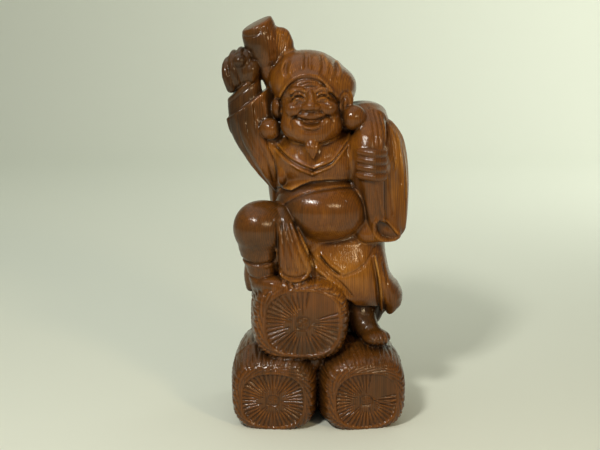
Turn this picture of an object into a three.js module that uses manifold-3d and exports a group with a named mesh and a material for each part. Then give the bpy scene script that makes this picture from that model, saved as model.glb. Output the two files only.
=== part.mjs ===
// A laughing god of fortune, carved from one block of wood: he stands on three straw rice bales,
// lifts a mallet in one hand and holds the neck of the sack on his back with the other.
// Millimetres, +Z up. He looks along -Y, and +X is to the right of someone who faces him.
//
// The block is a grid of distances to the surface, negative in the wood. Forms are added to it,
// cut from it and scored in it, as a carver would, and its surface is then faceted.
import * as THREE from 'three';
import { edgeTable, triTable } from 'three/addons/objects/MarchingCubes.js';
import { mergeVertices } from 'three/addons/utils/BufferGeometryUtils.js';
import Module from 'manifold-3d';

// Driving dimensions
const FIGURE_HEIGHT = 320; // from the top of the lower bales to the top of the mallet
const BALE_WIDTH = 90;
const BALE_HEIGHT = 90;
const BALE_LENGTH = 134;
const RIM_DEPTH = 1.6; // how far the end of a bale is sunk inside its rim
const STRAW_GROOVE_DEPTH = 2;
const CLOTH_EDGE = 3; // how far the edge of the robe stands off what is under it

// The figure is set out on a carver's grid of parts, which counts from the ground line:
// the feet stand on line 80 and the mallet ends on line 400.
const GRID_FEET = 80;
const GRID_TOP = 400;
const PART = FIGURE_HEIGHT / (GRID_TOP - GRID_FEET);

// Shares of a bale's own size
const RIM_SHARE = 0.87; // a bale is a barrel: its rims are this much of its middle
const RIM_DROP = 0.1; // the top of a lower bale's rim is lower besides, by this much of half its height
const BALE_POWER = 3; // 2 is an ellipse, and more is squarer
const FAN_POWER = 2.6; // the fan of straw is rounder than the bale
const NEST = 0.79; // the upper bale lies this much of a bale's height above the lower ones
const SEAT_SHARE = 0.012; // cut flat below, so that it stands
const BALE_TOP = BALE_HEIGHT * ((RIM_SHARE + 1) / 2 - SEAT_SHARE); // over the ground

// The fineness of the work
const CELL = 1.7;
const FACETS = 9600;

const DEGREE = Math.PI / 180;
const wasm = await Module();
wasm.setup();

// A point of the grid in millimetres, and one of the front view
const at = (x, y, z) => [x * PART, y * PART, BALE_TOP + (z - GRID_FEET) * PART];
const inFront = ([x, z]) => new THREE.Vector2(at(x, 0, z)[0], at(x, 0, z)[2]);

function smoothMin(a, b, blend) {
  const share = Math.max(blend - Math.abs(a - b), 0) / blend;
  return Math.min(a, b) - share * share * blend * 0.25;
}

const smoothMax = (a, b, blend) => -smoothMin(-a, -b, blend);

// The distance to an ellipsoid from the point (u, v, w) about its middle
function roundDistance(u, v, w, a, b, c) {
  const near = Math.hypot(u / a, v / b, w / c);
  const steep = Math.hypot(u / (a * a), v / (b * b), w / (c * c));
  return steep < 1e-9 ? -Math.min(a, b, c) : near * (near - 1) / steep;
}

// The distance to a rounded square from the point (u, v) about its middle
function squareDistance(u, v, a, b, power) {
  const [p, q] = [Math.abs(u) / a, Math.abs(v) / b];
  const near = (p ** power + q ** power) ** (1 / power);
  if (near < 1e-6) return -Math.min(a, b);
  const steep = Math.hypot(p ** (power - 1) / a, q ** (power - 1) / b) * near ** (1 - power);
  return (near - 1) / steep;
}

// The columns of a table at share t, smoothed through its rows
function smoothRow(rows, t) {
  const last = rows.length - 1;
  const i = Math.min(Math.floor(t * last), last - 1);
  const u = t * last - i;
  const row = (n) => rows[THREE.MathUtils.clamp(n, 0, last)];
  return rows[0].map((_, c) => {
    const [p, a, b, n] = [row(i - 1)[c], row(i)[c], row(i + 1)[c], row(i + 2)[c]];
    const bend = (2 * p - 5 * a + 4 * b - n) * u * u + (3 * (a - b) + n - p) * u * u * u;
    return a + 0.5 * ((b - p) * u + bend);
  });
}

const smoothRows = (rows, steps) => Array.from({ length: steps + 1 }, (_, i) => smoothRow(rows, i / steps));

// Forms: each has its lowest and highest corner and a distance, in millimetres.
// Their measures are in parts of the carver's grid, and their turns in degrees about X, Y and Z.

function egg(centre, radii, turns = [0, 0, 0], relief = () => 0) {
  const [x0, y0, z0] = at(...centre);
  const [a, b, c] = radii.map((r) => r * PART);
  const angles = new THREE.Euler(...turns.map((t) => t * DEGREE), 'ZYX');
  const m = new THREE.Matrix4().makeRotationFromEuler(angles).elements;
  const reach = Math.max(a, b, c);
  return {
    low: [x0 - reach, y0 - reach, z0 - reach],
    high: [x0 + reach, y0 + reach, z0 + reach],
    distance(x, y, z) {
      const [dx, dy, dz] = [x - x0, y - y0, z - z0];
      const u = m[0] * dx + m[1] * dy + m[2] * dz;
      const v = m[4] * dx + m[5] * dy + m[6] * dz;
      const w = m[8] * dx + m[9] * dy + m[10] * dz;
      return roundDistance(u, v, w, a, b, c) - relief(u / a, v / b, w / c) * PART;
    },
  };
}

// A round-ended limb along a smooth path: each stop is x, y, z, half width and, where it is flat,
// half depth. across is the direction of the half width.
function limb(stops, { steps = 6, across = [1, 0, 0] } = {}) {
  const rows = smoothRows(stops.map(([x, y, z, a, b = a]) => [...at(x, y, z), a * PART, b * PART]), steps);
  const spot = ([x, y, z]) => new THREE.Vector3(x, y, z);
  const links = rows.slice(1).map((next, i) => {
    const from = spot(rows[i]);
    const along = spot(next).sub(from);
    const length = along.length();
    along.normalize();
    const deep = new THREE.Vector3(...across).cross(along).normalize();
    return { from, along, length, deep, wide: along.clone().cross(deep), start: rows[i], end: next };
  });
  const reach = Math.max(...rows.flatMap((row) => row.slice(3)));
  return {
    low: [0, 1, 2].map((i) => Math.min(...rows.map((row) => row[i])) - reach),
    high: [0, 1, 2].map((i) => Math.max(...rows.map((row) => row[i])) + reach),
    distance(x, y, z) {
      let nearest = Infinity;
      for (const { from, along, length, deep, wide, start, end } of links) {
        const [dx, dy, dz] = [x - from.x, y - from.y, z - from.z];
        const run = dx * along.x + dy * along.y + dz * along.z;
        const done = THREE.MathUtils.clamp(run / length, 0, 1);
        const a = start[3] + (end[3] - start[3]) * done;
        const b = start[4] + (end[4] - start[4]) * done;
        const u = dx * wide.x + dy * wide.y + dz * wide.z;
        const v = dx * deep.x + dy * deep.y + dz * deep.z;
        nearest = Math.min(nearest, roundDistance(u, v, run - done * length, a, b, Math.min(a, b)));
      }
      return nearest;
    },
  };
}

// An upright body: each level is z, left x, right x, front y and back y, from the bottom up.
// relief gives extra size at an angle (0 right, -90 degrees in front) and a share of the height.
function column(levels, { power = 2.3, round = 8, relief = () => 0 } = {}) {
  const place = ([z, x0, x1, y0, y1]) => [at(0, 0, z)[2], ...[x0, x1, y0, y1].map((v) => v * PART)];
  const rows = levels.map(place);
  const [bottom, top] = [rows[0][0], rows.at(-1)[0]];
  const reach = (pick, i) => pick(...rows.map((row) => row[i]));
  const section = (z) => {
    const held = THREE.MathUtils.clamp(z, bottom, top);
    const i = Math.max(1, rows.findIndex(([height]) => height >= held));
    const [a, b] = [rows[i - 1][0], rows[i][0]];
    return smoothRow(rows, (i - 1 + (held - a) / (b - a)) / (rows.length - 1));
  };
  const edge = round * PART;
  let known = {};
  return {
    low: [reach(Math.min, 1), reach(Math.min, 3), bottom],
    high: [reach(Math.max, 2), reach(Math.max, 4), top],
    distance(x, y, z) {
      if (known.z !== z) known = { z, row: section(z) };
      const [, x0, x1, y0, y1] = known.row;
      const [u, v] = [x - (x0 + x1) / 2, y - (y0 + y1) / 2];
      const side = squareDistance(u, v, (x1 - x0) / 2, (y1 - y0) / 2, power);
      const folds = relief(Math.atan2(v, u), (z - bottom) / (top - bottom)) * PART;
      return smoothMax(side - folds, Math.max(bottom - z, z - top), edge);
    },
  };
}

// The squared distance in the front view from (x, z) to the straight line between p and q
function toLine(p, q, x, z) {
  const [ex, ez] = [q.x - p.x, q.y - p.y];
  const [dx, dz] = [x - p.x, z - p.y];
  const share = THREE.MathUtils.clamp((dx * ex + dz * ez) / (ex * ex + ez * ez), 0, 1);
  return (dx - ex * share) ** 2 + (dz - ez * share) ** 2;
}

// A slab between two depths whose outline is drawn in the front view, in x and z
function slab(outline, front, back) {
  const line = outline.map(inFront);
  const [y0, y1] = [front * PART, back * PART];
  const [xs, zs] = [line.map((p) => p.x), line.map((p) => p.y)];
  return {
    low: [Math.min(...xs), y0, Math.min(...zs)],
    high: [Math.max(...xs), y1, Math.max(...zs)],
    distance(x, y, z) {
      let nearest = Infinity;
      let inside = false;
      for (let i = 0, j = line.length - 1; i < line.length; j = i++) {
        const [p, q] = [line[i], line[j]];
        nearest = Math.min(nearest, toLine(p, q, x, z));
        const isBeside = p.y > z !== q.y > z;
        if (isBeside && x - p.x < ((q.x - p.x) * (z - p.y)) / (q.y - p.y)) inside = !inside;
      }
      return Math.max(Math.sqrt(nearest) * (inside ? -1 : 1), y0 - y, y - y1);
    },
  };
}

// Everything past a plane through a place, towards out, as far away as the reach
function beyond(place, out, reach) {
  const spot = at(...place);
  const length = Math.hypot(...out);
  return {
    low: spot.map((v) => v - reach * PART),
    high: spot.map((v) => v + reach * PART),
    distance: (x, y, z) => -dot(minus([x, y, z], spot), out) / length,
  };
}

// Several forms that flow into each other
function blended(forms, blend) {
  return {
    low: [0, 1, 2].map((i) => Math.min(...forms.map((form) => form.low[i]))),
    high: [0, 1, 2].map((i) => Math.max(...forms.map((form) => form.high[i]))),
    distance: (x, y, z) => forms.reduce((all, form) => smoothMin(all, form.distance(x, y, z), blend), 1e3),
  };
}

// Cloth of one thickness over a form, where a region holds it
function cloth(form, thickness, region) {
  const grow = (corner, sign) => corner.map((v) => v + sign * thickness);
  return {
    low: grow(form.low, -1),
    high: grow(form.high, 1),
    distance: (x, y, z) => smoothMax(form.distance(x, y, z) - thickness, region(x, y, z), 2),
  };
}

// Steps of the work: each has a box and says how the distance changes in it

const margin = (blend) => blend + 2 * CELL;

const add = (form, blend = 2) => ({
  low: form.low.map((v) => v - margin(blend)),
  high: form.high.map((v) => v + margin(blend)),
  change: (x, y, z, old) => smoothMin(old, form.distance(x, y, z), blend),
});

const cut = (form, blend = 1) => ({
  low: form.low.map((v) => v - margin(blend)),
  high: form.high.map((v) => v + margin(blend)),
  change: (x, y, z, old) => smoothMax(old, -form.distance(x, y, z), blend),
});

// A groove, or with a negative depth a ridge, along a line drawn in the front view, in x and z.
// It goes as far back as the depth behind, in parts.
function score(line, { depth = 2, width = 1.6, behind = 0 } = {}) {
  const path = new THREE.SplineCurve(line.map(inFront)).getPoints(line.length * 3);
  const wide = width * PART;
  const [xs, zs] = [path.map((p) => p.x), path.map((p) => p.y)];
  const reach = 3 * wide + Math.abs(depth) * PART;
  return {
    low: [Math.min(...xs) - reach, -BALE_LENGTH, Math.min(...zs) - reach],
    high: [Math.max(...xs) + reach, behind * PART, Math.max(...zs) + reach],
    change(x, y, z, old) {
      if (Math.abs(old) > reach) return old;
      let nearest = Infinity;
      for (let i = 1; i < path.length; i++) nearest = Math.min(nearest, toLine(path[i - 1], path[i], x, z));
      return old + depth * PART * Math.exp(-nearest / (wide * wide));
    },
  };
}

// A straw bale: a rounded square barrel. Its front is sunk inside a rim, and has a fan of straw
// grooves round a hub. middle is its centre in millimetres, yaw turns it about Z, in degrees,
// girth is its width as a share of the usual one, fan is the share of the end that is sunk, drop
// is how far the fan sits below the middle, in half heights, and sink is how much lower the rim's
// top is.
function bale(middle, yaw, options = {}) {
  const { length = BALE_LENGTH, girth = 1, straws = 20, fan = 0.8, drop = 0.1, sink = RIM_DROP } = options;
  const [c, s] = [Math.cos(yaw * DEGREE), Math.sin(yaw * DEGREE)];
  const [width, height] = [girth * BALE_WIDTH / 2, BALE_HEIGHT / 2];
  const edge = 0.1 * BALE_WIDTH;
  const reach = Math.hypot(width, length / 2);
  return {
    low: [middle[0] - reach, middle[1] - reach, middle[2] - height],
    high: [middle[0] + reach, middle[1] + reach, middle[2] + height],
    distance(x, y, z) {
      const [dx, dy] = [x - middle[0], y - middle[1]];
      const [u, v] = [c * dx + s * dy, c * dy - s * dx];
      const nearEnd = Math.min(1, Math.abs(2 * v / length)) ** 2.5;
      const bulge = 1 - (1 - RIM_SHARE) * nearEnd;
      const lowered = sink * height * nearEnd;
      const w = z - middle[2] + lowered;
      const [a, b] = [width * bulge, height * bulge - lowered];
      const side = squareDistance(u, w, a, b, BALE_POWER);
      const [p, q] = [u / a, w / b + drop];
      const share = (Math.abs(p) ** FAN_POWER + Math.abs(q) ** FAN_POWER) ** (1 / FAN_POWER);
      const wave = 0.5 - 0.5 * Math.cos(straws * Math.atan2(q, p));
      const isStraw = v < 0 && share > 0.32 * fan && share < 0.95 * fan;
      const sunk = (v < 0 && share < fan ? RIM_DEPTH : 0) + (isStraw ? STRAW_GROOVE_DEPTH * wave : 0);
      return smoothMax(side, Math.abs(v) - length / 2 + sunk, edge);
    },
  };
}

function bales() {
  const low = (RIM_SHARE / 2 - SEAT_SHARE) * BALE_HEIGHT;
  const high = low + BALE_HEIGHT * NEST;
  const upper = { length: BALE_LENGTH * 0.92, girth: 1.12, fan: 0.86, drop: 0.02, sink: 0 };
  return [
    add(bale([-BALE_WIDTH * 0.44, 0, low], -4), 1),
    add(bale([BALE_WIDTH * 0.41, 0, low], 10), 1),
    add(bale([-BALE_WIDTH * 0.2, -1, high], 1, upper), 1),
    add(limb([[-2, -42, 62, 9], [-2, 50, 62, 9]], { steps: 1 }), 3), // wood left between them
  ];
}

const HEAD_ROLL = -7; // about Y: his right side hangs

function head() {
  const roll = [0, HEAD_ROLL, 0];
  const pleats = (u, v, w) => {
    const turn = 10 * Math.atan2(v, u);
    return 2.4 * THREE.MathUtils.clamp(w - 0.1, 0, 0.5) * (Math.abs(Math.sin(turn)) * 2 - 1);
  };
  const face = [
    egg([-7, -14, 320], [29, 34, 34], roll),
    egg([-6, -28, 311], [27, 23, 24], roll),
    egg([-6, -28, 296], [30, 24.5, 20], roll), // jowls
  ];
  return [
    add(blended(face, 5), 4),
    add(egg([-5, -18, 284], [22, 18, 14], roll), 4), // neck
    add(egg([-5, -36, 275], [9, 10, 12]), 3), // wood left behind the beard
    add(limb([[-38, -4, 292, 13], [-6, -4, 296, 16], [30, -6, 300, 14]], { steps: 4 }), 4),
    add(egg([-5, -44, 289], [17, 8.5, 9], roll), 4), // chin
    add(egg([-23, -42, 313], [9, 8, 8], roll), 4), // cheeks
    add(egg([8, -42, 316], [9, 8, 8], roll), 4),
    add(egg([-21, -43, 331], [9, 5, 5], roll), 4), // brows
    add(egg([5, -43, 334], [9, 5, 5], roll), 4),
    add(egg([-8, -50, 323], [4, 5, 8], roll), 2), // nose
    add(egg([-8, -53, 318], [7.5, 5, 4.5], roll), 1.5),
    add(egg([-6, -5, 335], [42.5, 41, 31.5], [6, 12, 0], pleats), 1), // cap
    add(egg([26, -3, 332], [11.5, 25, 17]), 5),
    cut(beyond([21, 0, 356.5], [0.65, 0, 0.76], 40), 6), // its flattened side
    add(limb([[-38, -24, 321, 3], [-32, -36, 335, 3], [-12, -45.5, 348, 3], [8, -44, 346, 3],
      [24, -34, 331, 3]]), 1.2), // its rolled band
    add(limb([[-6, -49, 282, 7.5, 4], [-5.5, -51, 274, 6.5, 4.5], [-5, -51, 262, 1.8]]), 1.5), // beard
    add(egg([-39, -16, 312], [6, 10, 12], roll), 3), // ears and their long lobes
    add(egg([-46.5, -18, 292], [10, 10.5, 10]), 2),
    add(egg([26, -25, 318], [8.5, 7, 13], [0, 10, 0]), 1.5),
    add(egg([34.7, -28, 303.5], [12.5, 12.5, 12.5]), 0.8),
    // closed eyes, the smile and its folds
    score([[-29, 321], [-22, 326], [-14, 322]], { depth: 1.8, width: 1.5, behind: -20 }),
    score([[-2, 324], [5, 329], [13, 326]], { depth: 1.8, width: 1.5, behind: -20 }),
    score([[-25, 306], [-17, 303], [-7, 302], [3, 303.5], [11, 308]],
      { depth: 3.6, width: 2.2, behind: -20 }),
    score([[-14, 317], [-24, 311], [-31, 303]], { depth: 1.2, width: 1.5, behind: -20 }),
    score([[-1, 318], [9, 314], [17, 308]], { depth: 1.2, width: 1.5, behind: -20 }),
  ];
}

// The bare body, and the robe over it down to the hem that lies on the belly
function torso() {
  const back = [
    [176, -34, 58, -14, 40],
    [205, -43, 60, -16, 44],
    [235, -47, 62, -16, 46],
    [262, -46, 60, -14, 44],
    [284, -34, 52, -10, 36],
    [300, -18, 34, -6, 24],
  ];
  const body = blended([
    column(back, { round: 8 }),
    egg([3, -10, 260], [44, 34, 30]),
    egg([5, -17, 213], [47, 42, 34]), // belly
    limb([[-52, 2, 266, 16], [-20, 2, 282, 15], [24, 2, 284, 15], [52, 0, 276, 18]]), // shoulders
  ], 8);
  const above = [[-80, 239], [-52, 238], [-38, 233], [-26, 233.5], [-16, 239], [-6, 243], [10, 244.5],
    [44, 243], [80, 242], [80, 400], [-80, 400]]; // what is higher than the hem
  const hem = slab(above, -90, 90);
  const worn = (x, y, z) => Math.min(hem.distance(x, y, z), -(y + 2 * PART));
  return [
    add(body, 2),
    add(cloth(body, CLOTH_EDGE, worn), 1),
    // the collar, and the fold of the belly
    score([[-42, 280], [-28, 265], [-14, 255], [-5, 251.5]], { depth: -2, width: 1.8, behind: -8 }),
    score([[-5, 251.5], [8, 257], [20, 268], [36, 288]], { depth: -2, width: 1.8, behind: -8 }),
    score([[-40, 285], [-26, 270], [-14, 260], [-5, 256.5], [7, 262], [18, 273], [33, 290]],
      { depth: 1.6, width: 1.6, behind: -8 }),
    score([[-37, 214], [-25, 225], [-6, 233.5], [20, 236.5], [46, 234]], { depth: 1.4, behind: -8 }),
  ];
}

function raisedArm() {
  const folds = (angle, share) => 1.2 * Math.sin(9 * angle + 4 * share) * (1 - share * 0.5);
  const sleeve = [
    [228, -46, -34, -10, 12],
    [244, -59, -28, -17, 18],
    [262, -72, -26, -21, 22],
    [280, -84, -30, -22, 23],
    [300, -90, -38, -20, 20],
    [330, -90, -44, -17, 17],
  ];
  const finger = (x, top) => limb([[x, 3, top, 4], [x - 1, -7, top - 4, 4.8], [x - 1, -12, top - 14, 4.6],
    [x + 3, -11, top - 26, 4.4]], { steps: 5 });
  return [
    add(column(sleeve, { round: 6, relief: folds }), 5),
    cut(slab([[-110, 285], [-38, 338], [-38, 360], [-110, 360]], -40, 40), 1), // its slanting mouth
    add(limb([[-68, 0, 290, 18, 15], [-71, 0, 314, 18, 15], [-73, 0, 350, 15, 13]]), 1.5), // inner sleeve
    cut(slab([[-110, 300], [-30, 372], [-30, 400], [-110, 400]], -40, 40), 1),
    add(limb([[-70, 0, 316, 12, 12], [-75, 0, 345, 12, 12]]), 1.5), // wrist
    add(egg([-75, 1, 350], [17, 13, 17]), 2), // fist
    ...[[-88, 356], [-82, 363], [-75, 366], [-68, 366]].map(([x, top]) => add(finger(x, top), 0.8)),
    add(egg([-80, -6, 337], [8, 8, 7]), 2), // wood left between the fingers and the wrist
    add(egg([-76, -13, 357], [7, 7, 7]), 0.8), // thumb
    add(egg([-66, -9, 347], [8.5, 9, 11.5], [0, 25, 0]), 1),
  ];
}

function mallet() {
  return [
    add(limb([[-60, 2, 400, 13], [-57, 2, 383, 17.5], [-52, 2, 365, 17], [-46, 2, 346, 11]]), 1),
    add(limb([[-36, 6, 379, 9.5], [-35, 6, 369, 12], [-39, 5, 356, 13], [-43, 4, 346, 11]]), 6),
    add(limb([[-47, 3, 374, 9], [-46, 3, 348, 10], [-45, 3, 336, 8]], { steps: 3 }), 4),
    cut(beyond([-59, 0, 393], [-0.45, -0.12, 0.88], 24), 2.5), // its flat end
    add(limb([[-84, 0, 356, 4.5], [-58, 2, 362, 4.5]], { steps: 1 }), 1.5), // handle
  ];
}

function sackArm() {
  const folds = (angle, share) => 1.3 * Math.sin(8 * angle + 3 * share) * (1 - share * 0.5);
  const sleeve = [
    [180, 64, 82, -24, 4],
    [192, 56, 88, -30, 14],
    [212, 52, 90, -30, 20],
    [240, 50, 90.5, -27, 24],
    [264, 46, 88.5, -24, 26],
    [282, 42, 84, -20, 24],
    [296, 36, 74, -14, 20],
    [307, 32, 58, -8, 14],
  ];
  const finger = (n) => {
    const z = 271 - n * 7.6;
    const stops = [[66, -43, z, 4.3], [54, -53, z + 1, 4.5], [40, -47, z + 2, 4]];
    return limb(stops, { across: [0, 0, 1], steps: 4 });
  };
  const neck = [[60, -30, 190, 8, 6], [56, -38, 214, 9, 6], [53, -42, 245, 11, 7], [50, -42, 268, 13, 8],
    [51, -38, 284, 14.5, 9], [51, -16, 300, 17, 12], [46, 8, 302, 24, 14], [42, 26, 292, 32, 18]];
  const mouth = [[60.5, 200], [63, 203], [68, 198.5], [75, 191], [79, 186.5], [70, 185], [64, 188], [61, 194]];
  const fold = (line) => score(line, { depth: 1.4, width: 1.5, behind: 0 });
  return [
    add(column(sleeve, { round: 8, relief: folds }), 3),
    add(limb(neck, { steps: 14 }), 3), // the neck of the sack
    add(limb([[57, -20, 188, 10], [51, -24, 218, 12], [46, -29, 258, 16], [42, -29, 276, 14]]), 4),
    // wood left between the neck, the belly and the sleeve
    add(limb([[65, -20, 192, 11], [65, -21, 222, 13], [65, -22, 252, 13]]), 4),
    add(egg([46, -24, 194], [12, 10, 14]), 3),
    add(limb([[48, -28, 188, 9], [62, -29, 188, 8], [77, -27, 188, 6]], { across: [0, 0, 1] }), 3),
    cut(slab(mouth, -60, -25), 1.5),
    add(egg([59, -36, 259], [15, 13, 17]), 2), // back of the hand
    ...[0, 1, 2, 3].map((n) => add(finger(n), 0.8)),
    fold([[54, 312], [58, 296], [59, 277]]),
    fold([[64, 304], [68, 290], [67, 276]]),
    fold([[74, 292], [80, 270], [81, 235]]),
    fold([[68, 250], [72, 226], [74, 206]]),
  ];
}

function sack() {
  // The folds run out from the neck, which is above and to the right of the middle
  const folds = (u, v, w) => {
    const [across, down] = [u - 0.45, 1.3 - w];
    return 1.5 * Math.cos(13 * Math.atan2(across, down)) * Math.max(0, 2 - Math.hypot(across, down));
  };
  return [
    add(egg([20, 36, 246], [54, 34, 58], [0, 14, 0], folds), 4),
    add(egg([38, 22, 284], [30, 26, 22], [0, 20, 0]), 6),
  ];
}

function skirt() {
  const folds = (angle, share) => 1.8 * Math.sin(11 * angle) * (1 - share) * (angle > 0 ? 1 : 0.4);
  const robe = [
    [76, -34, 56, -6, 42],
    [90, -40, 66, -18, 50],
    [104, -42, 71, -28, 52],
    [126, -40, 74, -40, 52],
    [150, -36, 71, -42, 50],
    [178, -34, 68, -34, 46],
    [190, -34, 66, -28, 44],
  ];
  // What lies under the hem, seen from the front: it climbs from the right to the thigh
  const hem = [[-70, 60], [76, 60], [76, 101], [70, 103], [62, 111], [50, 114], [38, 116], [29, 126],
    [20, 138], [5, 150], [-10, 164], [-22, 184], [-40, 196], [-70, 196]];
  const corner = [[70, 84], [110, 84], [110, 140], [90, 124], [84, 112], [76, 105], [70, 102]];
  return [
    add(column(robe, { round: 6, relief: folds, power: 2.6 }), 3),
    add(limb([[62, -6, 156, 6, 22], [66, -8, 140, 8, 25], [72, -8, 127, 12, 24], [76, -7, 117, 11, 22],
      [74, -6, 105, 5, 18]]), 6),
    cut(slab(hem, -70, -6), 2),
    cut(slab(corner, -70, 70), 2),
    // the flap's edge and the folds
    score([[-22, 183], [-9, 163], [6, 149], [22, 137], [31, 126]], { depth: -1.6, width: 2.4, behind: -6 }),
    score([[57, 177], [47, 160], [24, 149]], { depth: 1.6, width: 1.8, behind: -6 }),
    score([[1, 166], [12, 155], [22, 149]], { depth: 1.6, width: 1.8, behind: -6 }),
    score([[60, 162], [65, 140], [68, 110]], { depth: -1.6, width: 2, behind: 0 }),
  ];
}

function legs() {
  const fold = (x, shift) => score([[x, 206], [x + 0.4 * shift, 184], [x + shift, 155]],
    { depth: 1.8, width: 1.6, behind: -20 });
  const foot = [[-58, -40, 141, 7, 8], [-44, -50, 142, 9, 11], [-28, -52, 139, 8, 9], [-18, -52, 137, 5, 6]];
  const drape = [[-35, -38, 210, 8, 12], [-30, -48, 194, 12, 13], [-25, -52, 174, 16, 12],
    [-22, -52, 157, 16.5, 9], [-19, -50, 147, 9, 7]];
  return [
    add(limb([[6, -4, 186, 24], [-24, -20, 190, 26], [-50, -34, 196, 26]]), 4), // thigh
    add(egg([-57, -38, 196], [26, 26, 27]), 4), // raised knee
    add(limb([[-58, -36, 180, 19, 19], [-57, -36, 160, 17, 17], [-56, -32, 138, 15, 15]]), 1.5), // shin
    score([[-82, 172], [-60, 168], [-38, 171]], { depth: 2, width: 1.8, behind: 30 }),
    add(limb([[-66, -24, 172, 9, 12], [-69, -22, 150, 8, 12], [-68, -20, 131, 5, 10]]), 2), // cloth behind it
    add(limb(foot, { across: [0, 0, 1] }), 2),
    add(limb(drape), 2), // the cloth over the thigh
    // wood left behind it and beside it
    add(egg([-24, -32, 156], [18, 16, 20]), 3),
    add(egg([-22, -32, 172], [12, 15, 14]), 3),
    add(egg([-38, -38, 167], [8, 10, 15]), 3),
    fold(-38, 5),
    fold(-32, 13),
    fold(-25, 21),
    // the standing leg and its foot
    add(limb([[42, 2, 130, 18], [43, -6, 106, 17], [47, -15, 93, 14], [57, -28, 84, 9]]), 2),
    add(egg([61, -33, 82], [12, 14, 7.5], [0, 0, 24]), 2),
  ];
}

// The block after every step of the work, as { low, size, field }
function carve(steps) {
  const low = [0, 1, 2].map((i) => Math.min(...steps.map((step) => step.low[i])));
  const high = [0, 1, 2].map((i) => Math.max(...steps.map((step) => step.high[i])));
  const size = low.map((v, i) => Math.ceil((high[i] - v) / CELL) + 1);
  const field = new Float32Array(size[0] * size[1] * size[2]).fill(1e3);
  for (const step of steps) {
    const first = step.low.map((v, i) => Math.max(0, Math.floor((v - low[i]) / CELL)));
    const last = step.high.map((v, i) => Math.min(size[i] - 1, Math.ceil((v - low[i]) / CELL)));
    for (let k = first[2]; k <= last[2]; k++) {
      for (let j = first[1]; j <= last[1]; j++) {
        for (let i = first[0]; i <= last[0]; i++) {
          const spot = (k * size[1] + j) * size[0] + i;
          field[spot] = step.change(low[0] + i * CELL, low[1] + j * CELL, low[2] + k * CELL, field[spot]);
        }
      }
    }
  }
  return { low, size, field };
}

// The corners of a cell of the grid, and the two corners that each of its edges joins
const CORNERS = [[0, 0, 0], [1, 0, 0], [1, 1, 0], [0, 1, 0], [0, 0, 1], [1, 0, 1], [1, 1, 1], [0, 1, 1]];
const EDGES = [[0, 1], [1, 2], [3, 2], [0, 3], [4, 5], [5, 6], [7, 6], [4, 7], [0, 4], [1, 5], [2, 6], [3, 7]];

// The surface where the distance is zero, by marching cubes, as { points, faces }
function surface({ low, size: [nx, ny, nz], field }) {
  const step = [1, nx, nx * ny];
  const corner = CORNERS.map(([x, y, z]) => x + y * step[1] + z * step[2]);
  const made = new Map();
  const points = [];
  const faces = [];
  const crossing = (cell, base, edge) => {
    const [a, b] = EDGES[edge];
    const axis = CORNERS[a].findIndex((v, n) => v !== CORNERS[b][n]);
    const start = base + corner[a];
    const key = 3 * start + axis;
    if (!made.has(key)) {
      const [p, q] = [field[start], field[start + step[axis]]];
      const share = THREE.MathUtils.clamp(p / (p - q), 0.02, 0.98);
      made.set(key, points.length);
      points.push(cell.map((n, m) => low[m] + CELL * (n + CORNERS[a][m] + (m === axis ? share : 0))));
    }
    return made.get(key);
  };
  for (let k = 0; k + 1 < nz; k++) {
    for (let j = 0; j + 1 < ny; j++) {
      for (let i = 0; i + 1 < nx; i++) {
        const base = i + j * step[1] + k * step[2];
        let kind = 0;
        for (let c = 0; c < 8; c++) if (field[base + corner[c]] < 0) kind |= 1 << c;
        if (!edgeTable[kind]) continue;
        for (let t = kind * 16; triTable[t] !== -1; t++) faces.push(crossing([i, j, k], base, triTable[t]));
      }
    }
  }
  return { points, faces };
}

// How closely the facets keep to the block: more where the face and the hands are
function care([x, y, z]) {
  const spots = [[at(-6, -40, 312), 42], [at(-74, -5, 352), 24], [at(58, -48, 260), 22]];
  const isNear = ([[u, v, w], reach]) => Math.hypot(x - u, y - v, z - w) < reach * PART;
  return spots.some(isNear) ? 5 : 1;
}

// A heap that gives back its cheapest item first
class Heap {
  items = [];

  push(item) {
    let i = this.items.length;
    this.items.push(item);
    while (i > 0 && this.items[(i - 1) >> 1].cost > item.cost) {
      this.items[i] = this.items[(i - 1) >> 1];
      i = (i - 1) >> 1;
    }
    this.items[i] = item;
  }

  pop() {
    const [top] = this.items;
    const item = this.items.pop();
    const count = this.items.length;
    if (!count) return top;
    let i = 0;
    for (let child = 1; child < count; child = 2 * i + 1) {
      if (child + 1 < count && this.items[child + 1].cost < this.items[child].cost) child++;
      if (this.items[child].cost >= item.cost) break;
      this.items[i] = this.items[child];
      i = child;
    }
    this.items[i] = item;
    return top;
  }
}

const minus = (a, b) => [a[0] - b[0], a[1] - b[1], a[2] - b[2]];
const dot = (a, b) => a[0] * b[0] + a[1] * b[1] + a[2] * b[2];
const cross = (a, b) => [a[1] * b[2] - a[2] * b[1], a[2] * b[0] - a[0] * b[2], a[0] * b[1] - a[1] * b[0]];

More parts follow.
